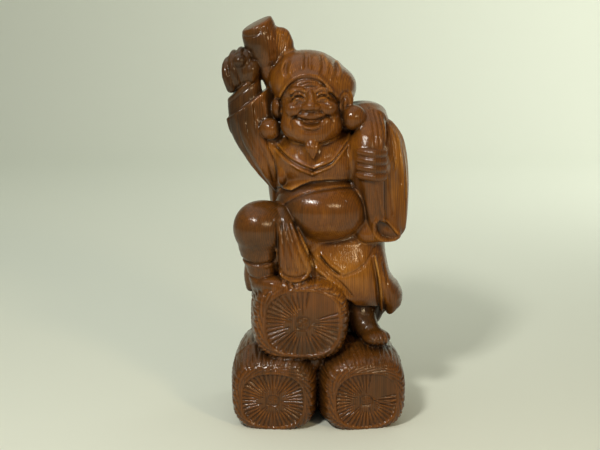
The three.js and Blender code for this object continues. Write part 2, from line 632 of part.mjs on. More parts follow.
// The same surface with count facets: the edges whose loss shows least are drawn together first.
// A quadric is the sum of squared distances to planes, as the ten terms of a symmetric matrix.
function faceted({ points, faces }, count) {
  const facets = Array.from({ length: faces.length / 3 }, (_, i) => faces.slice(3 * i, 3 * i + 3));
  const around = points.map(() => new Set());
  const quadrics = points.map(() => new Float64Array(10));
  const ages = new Uint32Array(points.length);
  const normal = ([a, b, c]) => cross(minus(b, a), minus(c, a));
  facets.forEach((facet, i) => {
    const corners = facet.map((v) => points[v]);
    const n = normal(corners);
    const area = Math.hypot(...n);
    facet.forEach((v) => around[v].add(i));
    if (area < 1e-12) return;
    const [a, b, c] = n.map((v) => v / area);
    const d = -dot([a, b, c], corners[0]);
    const weight = area * care(corners[0]);
    const terms = [a * a, a * b, a * c, a * d, b * b, b * c, b * d, c * c, c * d, d * d];
    facet.forEach((v) => terms.forEach((term, j) => (quadrics[v][j] += term * weight)));
  });
  const error = (q, [x, y, z]) =>
    q[0] * x * x + q[4] * y * y + q[7] * z * z + q[9] +
    2 * (q[1] * x * y + q[2] * x * z + q[5] * y * z + q[3] * x + q[6] * y + q[8] * z);

  // The best place for the point that two points are drawn together into, and what that costs
  const merged = (s, t) => {
    const q = quadrics[s].map((term, j) => term + quadrics[t][j]);
    const middle = points[s].map((v, j) => (v + points[t][j]) / 2);
    const length = Math.hypot(...minus(points[s], points[t]));
    const spots = [points[s], points[t], middle];
    const matrix = new THREE.Matrix3().set(q[0], q[1], q[2], q[1], q[4], q[5], q[2], q[5], q[7]);
    if (Math.abs(matrix.determinant()) > 1e-4 * (q[0] + q[4] + q[7]) ** 3) {
      const best = new THREE.Vector3(-q[3], -q[6], -q[8]).applyMatrix3(matrix.invert()).toArray();
      if (Math.hypot(...minus(best, middle)) < 1.5 * length) spots.push(best);
    }
    const costs = spots.map((spot) => error(q, spot));
    const least = costs.indexOf(Math.min(...costs));
    return { cost: costs[least] + 1e-4 * length * length, spot: spots[least] };
  };

  const heap = new Heap();
  const offer = (s, t) => heap.push({ s, t, age: ages[s] + ages[t], ...merged(s, t) });
  const neighbours = (v) => new Set([...around[v]].flatMap((f) => facets[f]).filter((u) => u !== v));
  const folds = (v, spot, gone) => [...around[v]].some((f) => {
    if (gone.includes(f)) return false;
    const before = normal(facets[f].map((u) => points[u]));
    const after = normal(facets[f].map((u) => (u === v ? spot : points[u])));
    const size = Math.hypot(...after);
    return size < 1e-3 || dot(before, after) < 0.3 * Math.hypot(...before) * size;
  });
  facets.forEach(([a, b, c]) => [[a, b], [b, c], [c, a]].forEach(([s, t]) => s < t && offer(s, t)));
  let left = facets.length;
  while (left > count && heap.items.length) {
    const { s, t, age, spot } = heap.pop();
    if (!around[s].size || !around[t].size || age !== ages[s] + ages[t]) continue;
    const beside = neighbours(t);
    const shared = [...neighbours(s)].filter((v) => beside.has(v));
    const gone = [...around[s]].filter((f) => around[t].has(f));
    if (shared.length !== 2 || gone.length !== 2 || folds(s, spot, gone) || folds(t, spot, gone)) continue;
    gone.forEach((f) => facets[f].forEach((v) => around[v].delete(f)));
    for (const f of around[t]) {
      facets[f] = facets[f].map((v) => (v === t ? s : v));
      around[s].add(f);
    }
    around[t].clear();
    points[s] = spot;
    quadrics[t].forEach((term, j) => (quadrics[s][j] += term));
    ages[s] += 1 + ages[t];
    ages[t] = 0;
    left -= 2;
    for (const v of neighbours(s)) offer(s, v);
  }
  const kept = [...new Set(facets.flatMap((facet, f) => facet.filter((v) => around[v].has(f))))];
  const place = new Map(kept.map((v, i) => [v, i]));
  const made = facets.filter((facet, f) => around[facet[0]].has(f));
  return { points: kept.map((v) => points[v]), faces: made.flat().map((v) => place.get(v)) };
}

function solid(points, faces) {
  const [vertProperties, triVerts] = [new Float32Array(points), new Uint32Array(faces)];
  return new wasm.Manifold(new wasm.Mesh({ numProp: 3, vertProperties, triVerts }));
}

// The outer skins alone: a pocket sealed inside is solid wood
function filled(made) {
  const skins = made.decompose().filter((body) => body.volume() > 0);
  return skins.reduce((all, one) => all.add(one));
}

function carving() {
  const body = [...torso(), ...sack(), ...skirt(), ...bales(), ...legs()];
  const steps = [...body, ...sackArm(), ...raisedArm(), ...head(), ...mallet()];
  const { points, faces } = faceted(surface(carve(steps)), FACETS);
  const whole = filled(solid(points.flat(), faces.reverse()));
  const box = new THREE.BoxGeometry(4 * BALE_LENGTH, 4 * BALE_LENGTH, BALE_HEIGHT);
  box.deleteAttribute('normal');
  box.deleteAttribute('uv');
  const ground = mergeVertices(box.translate(0, 0, -BALE_HEIGHT / 2));
  return whole.subtract(solid(ground.attributes.position.array, ground.index.array));
}

// The solid as a geometry with its origin under the middle of its outline
function standing(made) {
  const { vertProperties, triVerts } = made.getMesh();
  const geometry = new THREE.BufferGeometry();
  geometry.setAttribute('position', new THREE.BufferAttribute(vertProperties, 3));
  geometry.setIndex(new THREE.BufferAttribute(triVerts, 1));
  geometry.computeBoundingBox();
  const { min, max } = geometry.boundingBox;
  geometry.translate(-(min.x + max.x) / 2, -(min.y + max.y) / 2, -min.z);
  geometry.computeVertexNormals();
  return geometry;
}

const wood = new THREE.MeshStandardMaterial({ color: 0x6b3a1c, roughness: 0.35, metalness: 0 });
const figure = new THREE.Mesh(standing(carving()), wood);
figure.name = 'daikoku_carving';

const group = new THREE.Group();
group.add(figure);
export default group;
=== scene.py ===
"""A laughing god of fortune on three straw bales, carved from one block of varnished wood.

The block is a grid of distances to the surface of the wood, negative inside it. Forms are added
to it, cut from it and scored in it, as a carver would, and the surface is then taken off as one
closed mesh. Lengths are in millimetres of the real figure until the mesh is placed in the frame,
+Z is up, the figure looks along -Y, and +X is to the right of someone who faces it.
"""
import logging
import math
from collections.abc import Callable, Sequence
from dataclasses import dataclass
from enum import Enum
from typing import Protocol

import bpy
import numpy as np
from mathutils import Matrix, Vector


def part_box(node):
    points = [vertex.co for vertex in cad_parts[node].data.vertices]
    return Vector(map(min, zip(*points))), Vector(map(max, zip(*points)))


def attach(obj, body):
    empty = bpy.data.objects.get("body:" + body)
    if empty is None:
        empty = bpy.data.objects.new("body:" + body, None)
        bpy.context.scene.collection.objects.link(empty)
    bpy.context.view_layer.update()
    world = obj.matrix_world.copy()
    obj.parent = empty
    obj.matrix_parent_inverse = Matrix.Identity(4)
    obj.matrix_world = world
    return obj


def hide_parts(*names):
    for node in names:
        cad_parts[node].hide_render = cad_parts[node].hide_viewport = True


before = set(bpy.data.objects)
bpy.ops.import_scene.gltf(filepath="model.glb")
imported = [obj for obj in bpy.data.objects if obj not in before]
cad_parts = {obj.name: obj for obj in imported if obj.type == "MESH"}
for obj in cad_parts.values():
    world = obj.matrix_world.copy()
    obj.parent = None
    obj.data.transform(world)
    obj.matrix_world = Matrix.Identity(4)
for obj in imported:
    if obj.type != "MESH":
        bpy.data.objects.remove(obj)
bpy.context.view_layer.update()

Array = np.ndarray
Box = tuple[Array, Array]
Point = tuple[float, float]
Spot = tuple[float, float, float]
Line = Sequence[Point]
Stops = Sequence[Sequence[float]]
Relief = Callable[[Array, Array, Array], Array]
Socket = bpy.types.NodeSocket

log = logging.getLogger("carving")

FAR = 1e3  # further than anything on the grid
UP: Spot = (0, 0, 1)
CELL = 0.8  # the fineness of the block's grid
GROUND = -3.0  # the height of the ground on the grid, on which the standing foot is at 80
FINE_FACES = 190_000  # the most triangles that the mesh may have
DRAWS = 2  # how often the skin is drawn onto the surface of the wood
DRAWN = 0.8  # the share of the way that it goes each time
BODY = "root"
NODE = "daikoku_carving"


# Arithmetic on whole arrays of distances

def smooth_min(a: Array, b: Array, blend: float) -> Array:
    """The lesser of two distances, rounded over where they are within the blend.

    Args:
        a: One distance.
        b: The other distance.
        blend: How far apart the two may be and still be rounded together.

    Returns:
        The lesser one, less a quarter of the blend times the squared share that they overlap.
    """
    share = np.maximum(blend - np.abs(a - b), 0) / blend
    return np.minimum(a, b) - share * share * (blend * 0.25)


def smooth_max(a: Array, b: Array, blend: float) -> Array:
    """The greater of two distances, rounded over where they are within the blend."""
    return -smooth_min(-a, -b, blend)


def round_distance(u: Array, v: Array, w: Array, a: Array, b: Array, c: Array) -> Array:
    """The distance to an ellipsoid with half axes a, b and c, from a place about its middle.

    Args:
        u: Place along the first axis.
        v: Place along the second axis.
        w: Place along the third axis.
        a: First half axis.
        b: Second half axis.
        c: Third half axis.

    Returns:
        k (k - 1) / g, with k the place's length in half axes and g the slope of k squared.
    """
    near = np.sqrt((u / a) ** 2 + (v / b) ** 2 + (w / c) ** 2)
    steep = np.sqrt((u / a**2) ** 2 + (v / b**2) ** 2 + (w / c**2) ** 2)
    return near * (near - 1) / np.maximum(steep, 1e-6)


def square_distance(u: Array, v: Array, a: Array, b: Array, power: float) -> Array:
    """The distance to a rounded square with half sides a and b.

    Args:
        u: Place across.
        v: Place along.
        a: Half width.
        b: Half length.
        power: 2 gives an ellipse, and more is squarer.

    Returns:
        (k - 1) / g, with k the power mean of u / a and v / b, and g its slope.
    """
    p, q = np.maximum(np.abs(u) / a, 1e-3), np.maximum(np.abs(v) / b, 1e-3)
    near = (p**power + q**power) ** (1 / power)
    steep = np.hypot(p ** (power - 1) / a, q ** (power - 1) / b) * near ** (1 - power)
    return (near - 1) / steep


def smooth_rows(rows: Array, t: Array) -> Array:
    """A table's columns at shares of its length, on a curve through every row.

    Args:
        rows: One row for each stop.
        t: Shares from 0 at the first row to 1 at the last.

    Returns:
        One row for each share, on cubic pieces whose slope at a row is half its neighbours' gap.
    """
    last = len(rows) - 1
    i = np.minimum(np.floor(t * last), last - 1).astype(int)
    u = (t * last - i)[:, None]
    p, a, b, n = (rows[np.clip(i + k, 0, last)] for k in (-1, 0, 1, 2))
    bend = (2 * p - 5 * a + 4 * b - n) * u**2 + (3 * (a - b) + n - p) * u**3
    return a + 0.5 * ((b - p) * u + bend)


def turned(turns: Spot) -> Array:
    """The matrix that turns about X, then Y, then Z, by degrees.

    Args:
        turns: The degrees about each axis.

    Returns:
        The matrix.
    """
    a, b, c = np.radians(turns)
    about_x = np.array([[1, 0, 0], [0, np.cos(a), -np.sin(a)], [0, np.sin(a), np.cos(a)]])
    about_y = np.array([[np.cos(b), 0, np.sin(b)], [0, 1, 0], [-np.sin(b), 0, np.cos(b)]])
    about_z = np.array([[np.cos(c), -np.sin(c), 0], [np.sin(c), np.cos(c), 0], [0, 0, 1]])
    return about_z @ about_y @ about_x


def unevenness(n: Array) -> Array:
    """A number from 0 to 1 for each whole number, that jumps about as hand work does."""
    return np.modf(np.abs(np.sin(n * 12.9898 + 4.1) * 437.585))[0]


def ramp(value: Array, start: Array | float, over: float) -> Array:
    """A number that rises from 0 at the start to 1 that much further on, or back if it is negative."""
    return np.clip((value - start) / over, 0, 1)


def wave(angle: Array) -> Array:
    """A number that goes from 1 to 0 and back over each whole turn, by the cosine."""
    return 0.5 + 0.5 * np.cos(angle)


def bell(away: Array) -> Array:
    """A bell curve, which is 1 at nought and about a third at 1 to either side."""
    return np.exp(-(away**2))


# Forms: each gives the box that it is in and its distance

class Form(Protocol):
    """A shape that gives the distance to its surface, and the box that it is in."""

    def box(self) -> Box:
        """The lowest and the highest corner of a box that holds it."""

    def distance(self, x: Array, y: Array, z: Array) -> Array:
        """The distance from each place to the surface, negative inside."""


@dataclass(frozen=True)
class Egg:
    """An ellipsoid, which may be turned and may have relief on it."""

    centre: Spot
    radii: Spot
    turns: Spot = (0, 0, 0)
    relief: Relief | None = None

    def box(self) -> Box:
        """The corners of a box that holds it at any turn."""
        return np.array(self.centre) - max(self.radii), np.array(self.centre) + max(self.radii)

    def distance(self, x: Array, y: Array, z: Array) -> Array:
        """The distance to the ellipsoid, less the relief at that place in half axes.

        Args:
            x: Place across.
            y: Depth, from front to back.
            z: Height.

        Returns:
            The distance at each place, negative inside.
        """
        m = turned(self.turns).T.tolist()
        dx, dy, dz = x - self.centre[0], y - self.centre[1], z - self.centre[2]
        u, v, w = (row[0] * dx + row[1] * dy + row[2] * dz for row in m)
        a, b, c = self.radii
        out = round_distance(u, v, w, a, b, c)
        return out if self.relief is None else out - self.relief(u / a, v / b, w / c)


@dataclass(frozen=True)
class Limb:
    """A round-ended limb along a smooth path.

    Each stop is x, y, z, half width and, where it is flat, half depth.
    """

    stops: Stops
    steps: int = 8
    across: Spot = (1, 0, 0)  # the direction that its widths are nearest to

    def rows(self) -> Array:
        """The path's stops on a smooth curve, each with a half width and a half depth."""
        stops = np.array([[*s, s[3]] if len(s) == 4 else s for s in self.stops], float)
        return smooth_rows(stops, np.linspace(0, 1, self.steps + 1))

    def box(self) -> Box:
        """The corners of a box that holds it however its path turns.

        Returns:
            The lowest and the highest corner.
        """
        rows = self.rows()
        reach = rows[:, 3:].max()
        return rows[:, :3].min(0) - reach, rows[:, :3].max(0) + reach

    def distance(self, x: Array, y: Array, z: Array) -> Array:
        """The least distance to any link, each an ellipse that grows evenly along its length.

        Args:
            x: Place across.
            y: Depth, from front to back.
            z: Height.

        Returns:
            The distance at each place, negative inside.
        """
        rows = self.rows()
        nearest = None
        for start, end in zip(rows[:-1], rows[1:]):
            along = end[:3] - start[:3]
            length = float(np.linalg.norm(along))
            along = along / length
            deep = np.cross(self.across, along)
            deep = deep / np.linalg.norm(deep)
            wide = np.cross(along, deep)
            dx, dy, dz = (p - float(s) for p, s in zip((x, y, z), start))
            run, u, v = (
                float(k[0]) * dx + float(k[1]) * dy + float(k[2]) * dz for k in (along, wide, deep)
            )
            done = np.clip(run / length, 0, 1)
            a = float(start[3]) + float(end[3] - start[3]) * done
            b = float(start[4]) + float(end[4] - start[4]) * done
            out = round_distance(u, v, run - done * length, a, b, np.minimum(a, b))
            nearest = out if nearest is None else np.minimum(nearest, out)
        return nearest


@dataclass(frozen=True)
class Column:
    """An upright body. Each level is z, left x, right x, front y and back y, from the bottom up.

    Its relief is extra size at an angle (0 right, -pi / 2 in front) and a share of the height.
    """

    levels: Stops
    power: float = 2.3  # how square its section is
    round: float = 8  # the rounding of its upper and lower edge
    relief: Callable[[Array, Array], Array] | None = None

    def box(self) -> Box:
        """The corners of a box round all its levels.

        Returns:
            The lowest and the highest corner.
        """
        rows = np.array(self.levels)
        low = np.array([rows[:, 1].min(), rows[:, 3].min(), rows[0, 0]])
        return low, np.array([rows[:, 2].max(), rows[:, 4].max(), rows[-1, 0]])

    def section(self, z: Array) -> tuple[Array, Array, Array, Array]:
        """The four sides at each height, on a smooth curve through the levels.

        Args:
            z: Heights.

        Returns:
            The left, right, front and back side at each height.
        """
        rows = np.array(self.levels, float)
        heights = rows[:, 0]
        held = np.clip(z.ravel(), heights[0], heights[-1])
        i = np.clip(np.searchsorted(heights, held), 1, len(rows) - 1)
        share = (held - heights[i - 1]) / (heights[i] - heights[i - 1])
        sides = smooth_rows(rows, (i - 1 + share) / (len(rows) - 1)).astype(np.float32)
        return tuple(sides[:, k].reshape(z.shape) for k in (1, 2, 3, 4))

    def distance(self, x: Array, y: Array, z: Array) -> Array:
        """The distance to the rounded square of each height, rounded off above and below.

        Args:
            x: Place across.
            y: Depth, from front to back.
            z: Height.

        Returns:
            The distance at each place, negative inside.
        """
        x0, x1, y0, y1 = self.section(z)
        bottom, top = self.levels[0][0], self.levels[-1][0]
        u, v = x - (x0 + x1) / 2, y - (y0 + y1) / 2
        side = square_distance(u, v, (x1 - x0) / 2, (y1 - y0) / 2, self.power)
        if self.relief is not None:
            side = side - self.relief(np.arctan2(v, u), (z - bottom) / (top - bottom))
        return smooth_max(side, np.maximum(bottom - z, z - top) + 0 * side, self.round)


def line_distance(line: Array, x: Array, z: Array, closed: bool = False) -> Array:
    """The distance in the front view from each place to a line of straight pieces.

    Args:
        line: The x and z of each corner.
        x: Place across.
        z: Height.
        closed: Whether the last corner is joined to the first.

    Returns:
        The least distance to any piece, at the foot of the square or at the nearer corner.
    """
    ends = np.roll(line, -1, 0) if closed else line[1:]
    nearest = np.full(np.broadcast_shapes(x.shape, z.shape), FAR**2, np.float32)
    for (px, pz), (qx, qz) in zip(line.tolist(), ends.tolist()):
        ex, ez = qx - px, qz - pz
        share = np.clip(((x - px) * ex + (z - pz) * ez) / (ex * ex + ez * ez), 0, 1)
        nearest = np.minimum(nearest, (x - px - ex * share) ** 2 + (z - pz - ez * share) ** 2)
    return np.sqrt(nearest)


@dataclass(frozen=True)
class Slab:
    """A slab between two depths, whose outline of x and z is drawn in the front view."""

    outline: Line
    front: float
    back: float

    def box(self) -> Box:
        """The corners of the box of its outline and depths."""
        (left, bottom), (right, top) = np.min(self.outline, 0), np.max(self.outline, 0)
        return np.array([left, self.front, bottom]), np.array([right, self.back, top])

    def distance(self, x: Array, y: Array, z: Array) -> Array:
        """The distance to the outline, negative inside it, or to the nearer depth.

        Args:
            x: Place across.
            y: Depth, from front to back.
            z: Height.

        Returns:
            The distance at each place, negative inside.
        """
        line = np.array(self.outline, float)
        inside = np.zeros(np.broadcast_shapes(x.shape, z.shape), bool)
        for (px, pz), (qx, qz) in zip(line.tolist(), np.roll(line, -1, 0).tolist()):
            if pz != qz:
                crosses = (pz > z) != (qz > z)
                inside ^= crosses & (x < px + (qx - px) * (z - pz) / (qz - pz))
        edge = line_distance(line, x, z, closed=True) * np.where(inside, -1, 1)
        return np.maximum(edge, np.maximum(self.front - y, y - self.back)).astype(np.float32)


@dataclass(frozen=True)
class Blended:
    """Several forms that flow into each other."""

    forms: Sequence[Form]
    blend: float

    def box(self) -> Box:
        """The corners of a box round all their boxes."""
        lows, highs = zip(*(form.box() for form in self.forms))
        return np.min(lows, 0), np.max(highs, 0)

    def distance(self, x: Array, y: Array, z: Array) -> Array:
        """The smooth least of their distances.

        Args:
            x: Place across.
            y: Depth, from front to back.
            z: Height.

        Returns:
            The distance at each place, negative inside.
        """
        out = self.forms[0].distance(x, y, z)
        for form in self.forms[1:]:
            out = smooth_min(out, form.distance(x, y, z), self.blend)
        return out


@dataclass(frozen=True)
class Cloth:
    """Cloth of one thickness over a form, where a region holds it."""

    form: Form
    thickness: float
    region: Relief

    def box(self) -> Box:
        """The corners of the form's box, a thickness out."""
        low, high = self.form.box()
        return low - self.thickness, high + self.thickness

    def distance(self, x: Array, y: Array, z: Array) -> Array:
        """The distance to the form less the thickness, or to the region if that is more."""
        return smooth_max(self.form.distance(x, y, z) - self.thickness, self.region(x, y, z), 2)


@dataclass(frozen=True)
class Half:
    """Everything on one side of a plane, which its outward direction points into."""

    place: Spot
    out: Spot

    def box(self) -> Box:
        """Two corners beyond any block."""
        return np.full(3, -FAR), np.full(3, FAR)

    def distance(self, x: Array, y: Array, z: Array) -> Array:
        """The distance to the plane, negative on the side that the direction points into."""
        shift = sum((p - s) * n for p, s, n in zip((x, y, z), self.place, self.out))
        return -shift / math.hypot(*self.out)


@dataclass(frozen=True)
class Groove:
    """A groove, or with a negative depth a ridge, along a smooth line in the front view."""

    line: Line
    depth: float
    width: float  # how far from the line it is still a third as deep
    behind: float = 0  # the depth, in y, past which nothing is cut
    taper: bool = True  # whether the ends run out to nothing
    aside: Point = (0, 0)  # how far it is moved from the line, in x and z

    def path(self) -> Array:
        """The x and z of places along the smooth line."""
        t = np.linspace(0, 1, 4 * len(self.line) + 1)
        return smooth_rows(np.array(self.line, float), t) + self.aside

    def cut(self, path: Array, x: Array, z: Array) -> Array:
        """How much is cut away: a bell curve of the distance to the path.

        Args:
            path: The places along the line.
            x: Place across.
            z: Height.

        Returns:
            The cut at each place, less near the two ends where they taper.
        """
        cut = self.depth * bell(line_distance(path, x, z) / self.width)
        if not self.taper:
            return cut
        ends = [np.hypot(x - end[0], z - end[1]) for end in path[[0, -1]].tolist()]
        return cut * ramp(np.minimum(*ends), 0, 2.5 * self.width)


Mark = tuple[float, float, Point]  # the depth and the width of a groove, and how far it is aside
Added = tuple[Form, float]  # a form, and the blend that it is added with


def side_by_side(line: Line, marks: Sequence[Mark], behind: float, taper: bool = True) -> list[Groove]:
    """Grooves and ridges side by side along one line.

    Args:
        line: The x and z of the stops of the line.
        marks: The depth and the width of each, and how far it is moved aside.
        behind: The depth, in y, past which nothing is cut.
        taper: Whether the ends run out to nothing.

    Returns:
        The grooves, in the order in which they are cut.
    """
    return [Groove(line, depth, width, behind, taper, aside) for depth, width, aside in marks]


class Block:
    """The block of wood: a grid of distances that every step of the carving changes."""

    def __init__(self, low: Spot, high: Spot, cell: float) -> None:
        """Makes an empty block.

        Args:
            low: The lowest corner of the grid.
            high: The highest corner of the grid.
            cell: The distance between neighbours of the grid.
        """
        self.low = np.array(low, float)
        self.cell = cell
        self.shape = np.ceil((np.array(high) - self.low) / cell).astype(int) + 1
        self.grid = np.full(self.shape, FAR, np.float32)

    def window(self, low: Array, high: Array) -> tuple[tuple[slice, ...], list[Array]]:
        """The part of the grid between two corners.

        Args:
            low: The lowest corner.
            high: The highest corner.

        Returns:
            The slices of the grid, and its x, y and z along each side, ready to be spread.
        """
        first = np.clip(np.floor((low - self.low) / self.cell), 0, self.shape - 1).astype(int)
        last = np.clip(np.ceil((high - self.low) / self.cell), 0, self.shape - 1).astype(int)
        sides = []
        for axis in range(3):
            side = self.low[axis] + self.cell * np.arange(first[axis], last[axis] + 1)
            spread = [1, 1, 1]
            spread[axis] = -1
            sides.append(side.astype(np.float32).reshape(spread))
        return tuple(slice(a, b + 1) for a, b in zip(first, last)), sides

    def around(self, form: Form, blend: float) -> tuple[tuple[slice, ...], list[Array]]:
        """The window that a form can change when it is blended in.

        Args:
            form: The form.
            blend: How far it flows into what is there.

        Returns:
            The slices of the grid, and its x, y and z along each side.
        """
        low, high = form.box()
        reach = blend + 2 * self.cell
        return self.window(low - reach, high + reach)

    def add(self, form: Form, blend: float) -> None:
        """Puts a form on, flowing into what is there over the blend."""
        part, sides = self.around(form, blend)
        self.grid[part] = smooth_min(self.grid[part], form.distance(*sides), blend)

    def build_up(self, *forms: Added) -> None:
        """Puts forms on one after another, each with its own blend."""
        for form, blend in forms:
            self.add(form, blend)

    def cut(self, form: Form, blend: float) -> None:
        """Takes a form away, with edges rounded over the blend."""
        part, sides = self.around(form, blend)
        self.grid[part] = smooth_max(self.grid[part], -form.distance(*sides), blend)

    def score(self, *grooves: Groove) -> None:
        """Cuts grooves, one after another, into what is near the surface.

        Args:
            grooves: The grooves and ridges, in their order.
        """
        for groove in grooves:
            path = groove.path()
            reach = 3 * groove.width + abs(groove.depth)
            (left, bottom), (right, top) = path.min(0) - reach, path.max(0) + reach
            low, high = np.array([left, self.low[1], bottom]), np.array([right, groove.behind, top])
            part, (x, _, z) = self.window(low, high)
            old = self.grid[part]
            self.grid[part] = np.where(np.abs(old) < reach, old + groove.cut(path, x, z), old)

    def at(self, points: Array) -> Array:
        """The distance at each place, blended from the eight corners of its cell.

        Args:
            points: The places, in the block's millimetres.

        Returns:
            The distance, negative inside the wood.
        """
        place = (points - self.low) / self.cell
        first = np.clip(np.floor(place).astype(int), 0, self.shape - 2)
        share = np.clip(place - first, 0, 1)
        out = np.zeros(len(points), np.float32)
        for corner in np.ndindex(2, 2, 2):
            weight = np.prod(np.where(corner, share, 1 - share), 1)
            i, j, k = (first + corner).T
            out += weight * self.grid[i, j, k]
        return out

    def slope(self, points: Array) -> Array:
        """The unit direction in which the distance grows at each place.

        Args:
            points: The places, in the block's millimetres.

        Returns:
            A direction of length 1 for each place.
        """
        shift = self.cell * 0.5
        rises = [self.at(points + shift * axis) - self.at(points - shift * axis) for axis in np.eye(3)]
        out = np.stack(rises, 1)
        return out / np.maximum(np.linalg.norm(out, axis=1, keepdims=True), 1e-9)

    def crossed_cells(self) -> tuple[Array, Array, tuple[int, ...]]:
        """The cells that the surface passes through, and a place on it in each.

        Returns:
            The cells' lowest corners on the grid, the mean of the places where the edges of each
            are crossed, and how many cells the grid has along each side.
        """
        count = (self.grid < 0).astype(np.uint8)
        for axis in range(3):
            size = count.shape[axis]
            count = np.take(count, range(1, size), axis) + np.take(count, range(size - 1), axis)
        cells = np.stack(np.nonzero((count > 0) & (count < 8)), 1)
        total, crossings = np.zeros((len(cells), 3)), np.zeros((len(cells), 1))
        for axis, step in enumerate(np.eye(3, dtype=int)):
            for side in np.ndindex(2, 2):
                start = cells + np.insert(side, axis, 0)
                a, b = self.grid[tuple(start.T)], self.grid[tuple((start + step).T)]
                crossed = ((a < 0) != (b < 0))[:, None]
                share = np.divide(a, a - b, out=np.zeros_like(a), where=crossed[:, 0])[:, None]
                total += np.where(crossed, start + step * share, 0)
                crossings += crossed
        return cells, self.low + self.cell * total / crossings, count.shape

    def surface(self) -> tuple[Array, Array]:
        """The surface of the wood as a closed skin of four-sided faces.

        Each cell that the surface passes through has one corner, and each edge of the grid that it
        crosses has one face, between the corners of the four cells around that edge. The corners
        are then drawn onto the surface itself.

        Returns:
            The corners, and the four corners of each face.
        """
        cells, points, sizes = self.crossed_cells()
        keys = np.ravel_multi_index(cells.T, sizes)
        inside = self.grid < 0
        faces = []
        for axis in range(3):
            size = inside.shape[axis]
            here, there = np.take(inside, range(size - 1), axis), np.take(inside, range(1, size), axis)
            edges = np.stack(np.nonzero(here != there), 1)
            leaves = here[tuple(edges.T)][:, None]
            b, c = np.delete(np.eye(3, dtype=int), axis, 0)
            if axis == 1:
                b, c = c, b
            around = [edges - b - c, edges - c, edges, edges - b]
            corners = [np.searchsorted(keys, np.ravel_multi_index(spot.T, sizes)) for spot in around]
            quad = np.stack(corners, 1)
            faces.append(np.where(leaves, quad, quad[:, ::-1]))
        for _ in range(DRAWS):
            points = points - self.slope(points) * self.at(points)[:, None] * DRAWN
        return points, np.concatenate(faces)


# The sub-assemblies of the figure, in the order in which they are carved

class Part(Protocol):
    """A sub-assembly, which is carved in its turn from the block that all of them share."""

    def carve(self, block: Block) -> None:
        """Adds its forms to the block, cuts them and scores them."""


@dataclass(frozen=True)
class Torso:
    """The bare body, and the robe over it down to the hem that lies on the belly."""

    hem_thickness: float = 3
    front: float = -8  # the depth before which the chest and the belly are scored
    levels: Stops = (
        (176, -34, 58, -14, 40),
        (205, -43, 60, -16, 44),
        (235, -47, 62, -16, 46),
        (262, -46, 60, -14, 44),
        (284, -34, 52, -10, 36),
        (300, -18, 34, -6, 24),
    )
    chest: Egg = Egg((3, -10, 260), (44, 34, 30))
    belly: Egg = Egg((5, -17, 213), (47, 42, 34))
    shoulders: Stops = ((-52, 2, 266, 16), (-20, 2, 282, 15), (24, 2, 284, 15), (52, 0, 276, 18))
    hem: Line = (
        (-80, 239), (-52, 238), (-38, 233), (-26, 233.5), (-16, 239), (-6, 243), (10, 244.5),
        (44, 243), (80, 242), (80, 400), (-80, 400),
    )
    collar: Sequence[Line] = (
        ((-46, 275), (-31, 262.5), (-17, 255), (-5.5, 251)),
        ((-5.5, 251), (3, 254.5), (12, 258.5), (19.5, 266.5), (27.5, 276.5), (35, 288)),
    )
    collar_marks: Sequence[Mark] = ((-2, 1.5, (0, 0)), (1.5, 1.1, (1, 3.4)), (-1.5, 1.2, (1.4, 6.2)))
    roll: Line = ((-37, 214), (-25, 225), (-6, 233.5), (20, 236.5), (46, 234))

    def carve(self, block: Block) -> None:
        """Adds the body and the robe, and scores the collar and the roll of the belly.

        Args:
            block: The block of wood that is carved.
        """
        body = Blended((Column(self.levels), self.chest, self.belly, Limb(self.shoulders)), 8)
        above = Slab(self.hem, -90, 90)

        def worn(x: Array, y: Array, z: Array) -> Array:
            """Where the robe is: above the hem, and all over the back."""
            return np.minimum(above.distance(x, y, z), -(y + 2))

        block.add(body, 2)
        block.add(Cloth(body, self.hem_thickness, worn), 1)
        for line in self.collar:
            block.score(*side_by_side(line, self.collar_marks, self.front, taper=False))
        block.score(Groove(self.roll, 1.5, 1.1, self.front))


@dataclass(frozen=True)
class Sack:
    """The sack on the back, with folds that run out from its neck."""

    belly: tuple[Spot, Spot, Spot] = ((20, 36, 246), (54, 34, 58), (0, 14, 0))
    shoulder: Egg = Egg((38, 22, 284), (30, 26, 22), (0, 20, 0))
    gather: Point = (0.45, 1.3)  # where the folds run out from, across and up in half axes
    fold_reach: float = 2.1  # how far from there they die away
    fold_depth: float = 1.7
    fold_count: float = 13  # in a whole turn

    def folds(self, u: Array, v: Array, w: Array) -> Array:
        """Folds round the gather, by the cosine of the angle, that die away from it.

        Args:
            u: Place across, in half axes.
            v: Depth, in half axes.
            w: Height, in half axes.

        Returns:
            How far the sack stands out.
        """
        across, down = u - self.gather[0], self.gather[1] - w
        turn = self.fold_count * np.arctan2(across, down) + 1.2 * np.sin(3 * down + across)
        return self.fold_depth * np.cos(turn) * np.maximum(0, self.fold_reach - np.hypot(across, down))

    def carve(self, block: Block) -> None:
        """Adds the sack and its shoulder."""
        block.add(Egg(*self.belly, self.folds), 4)
        block.add(self.shoulder, 6)


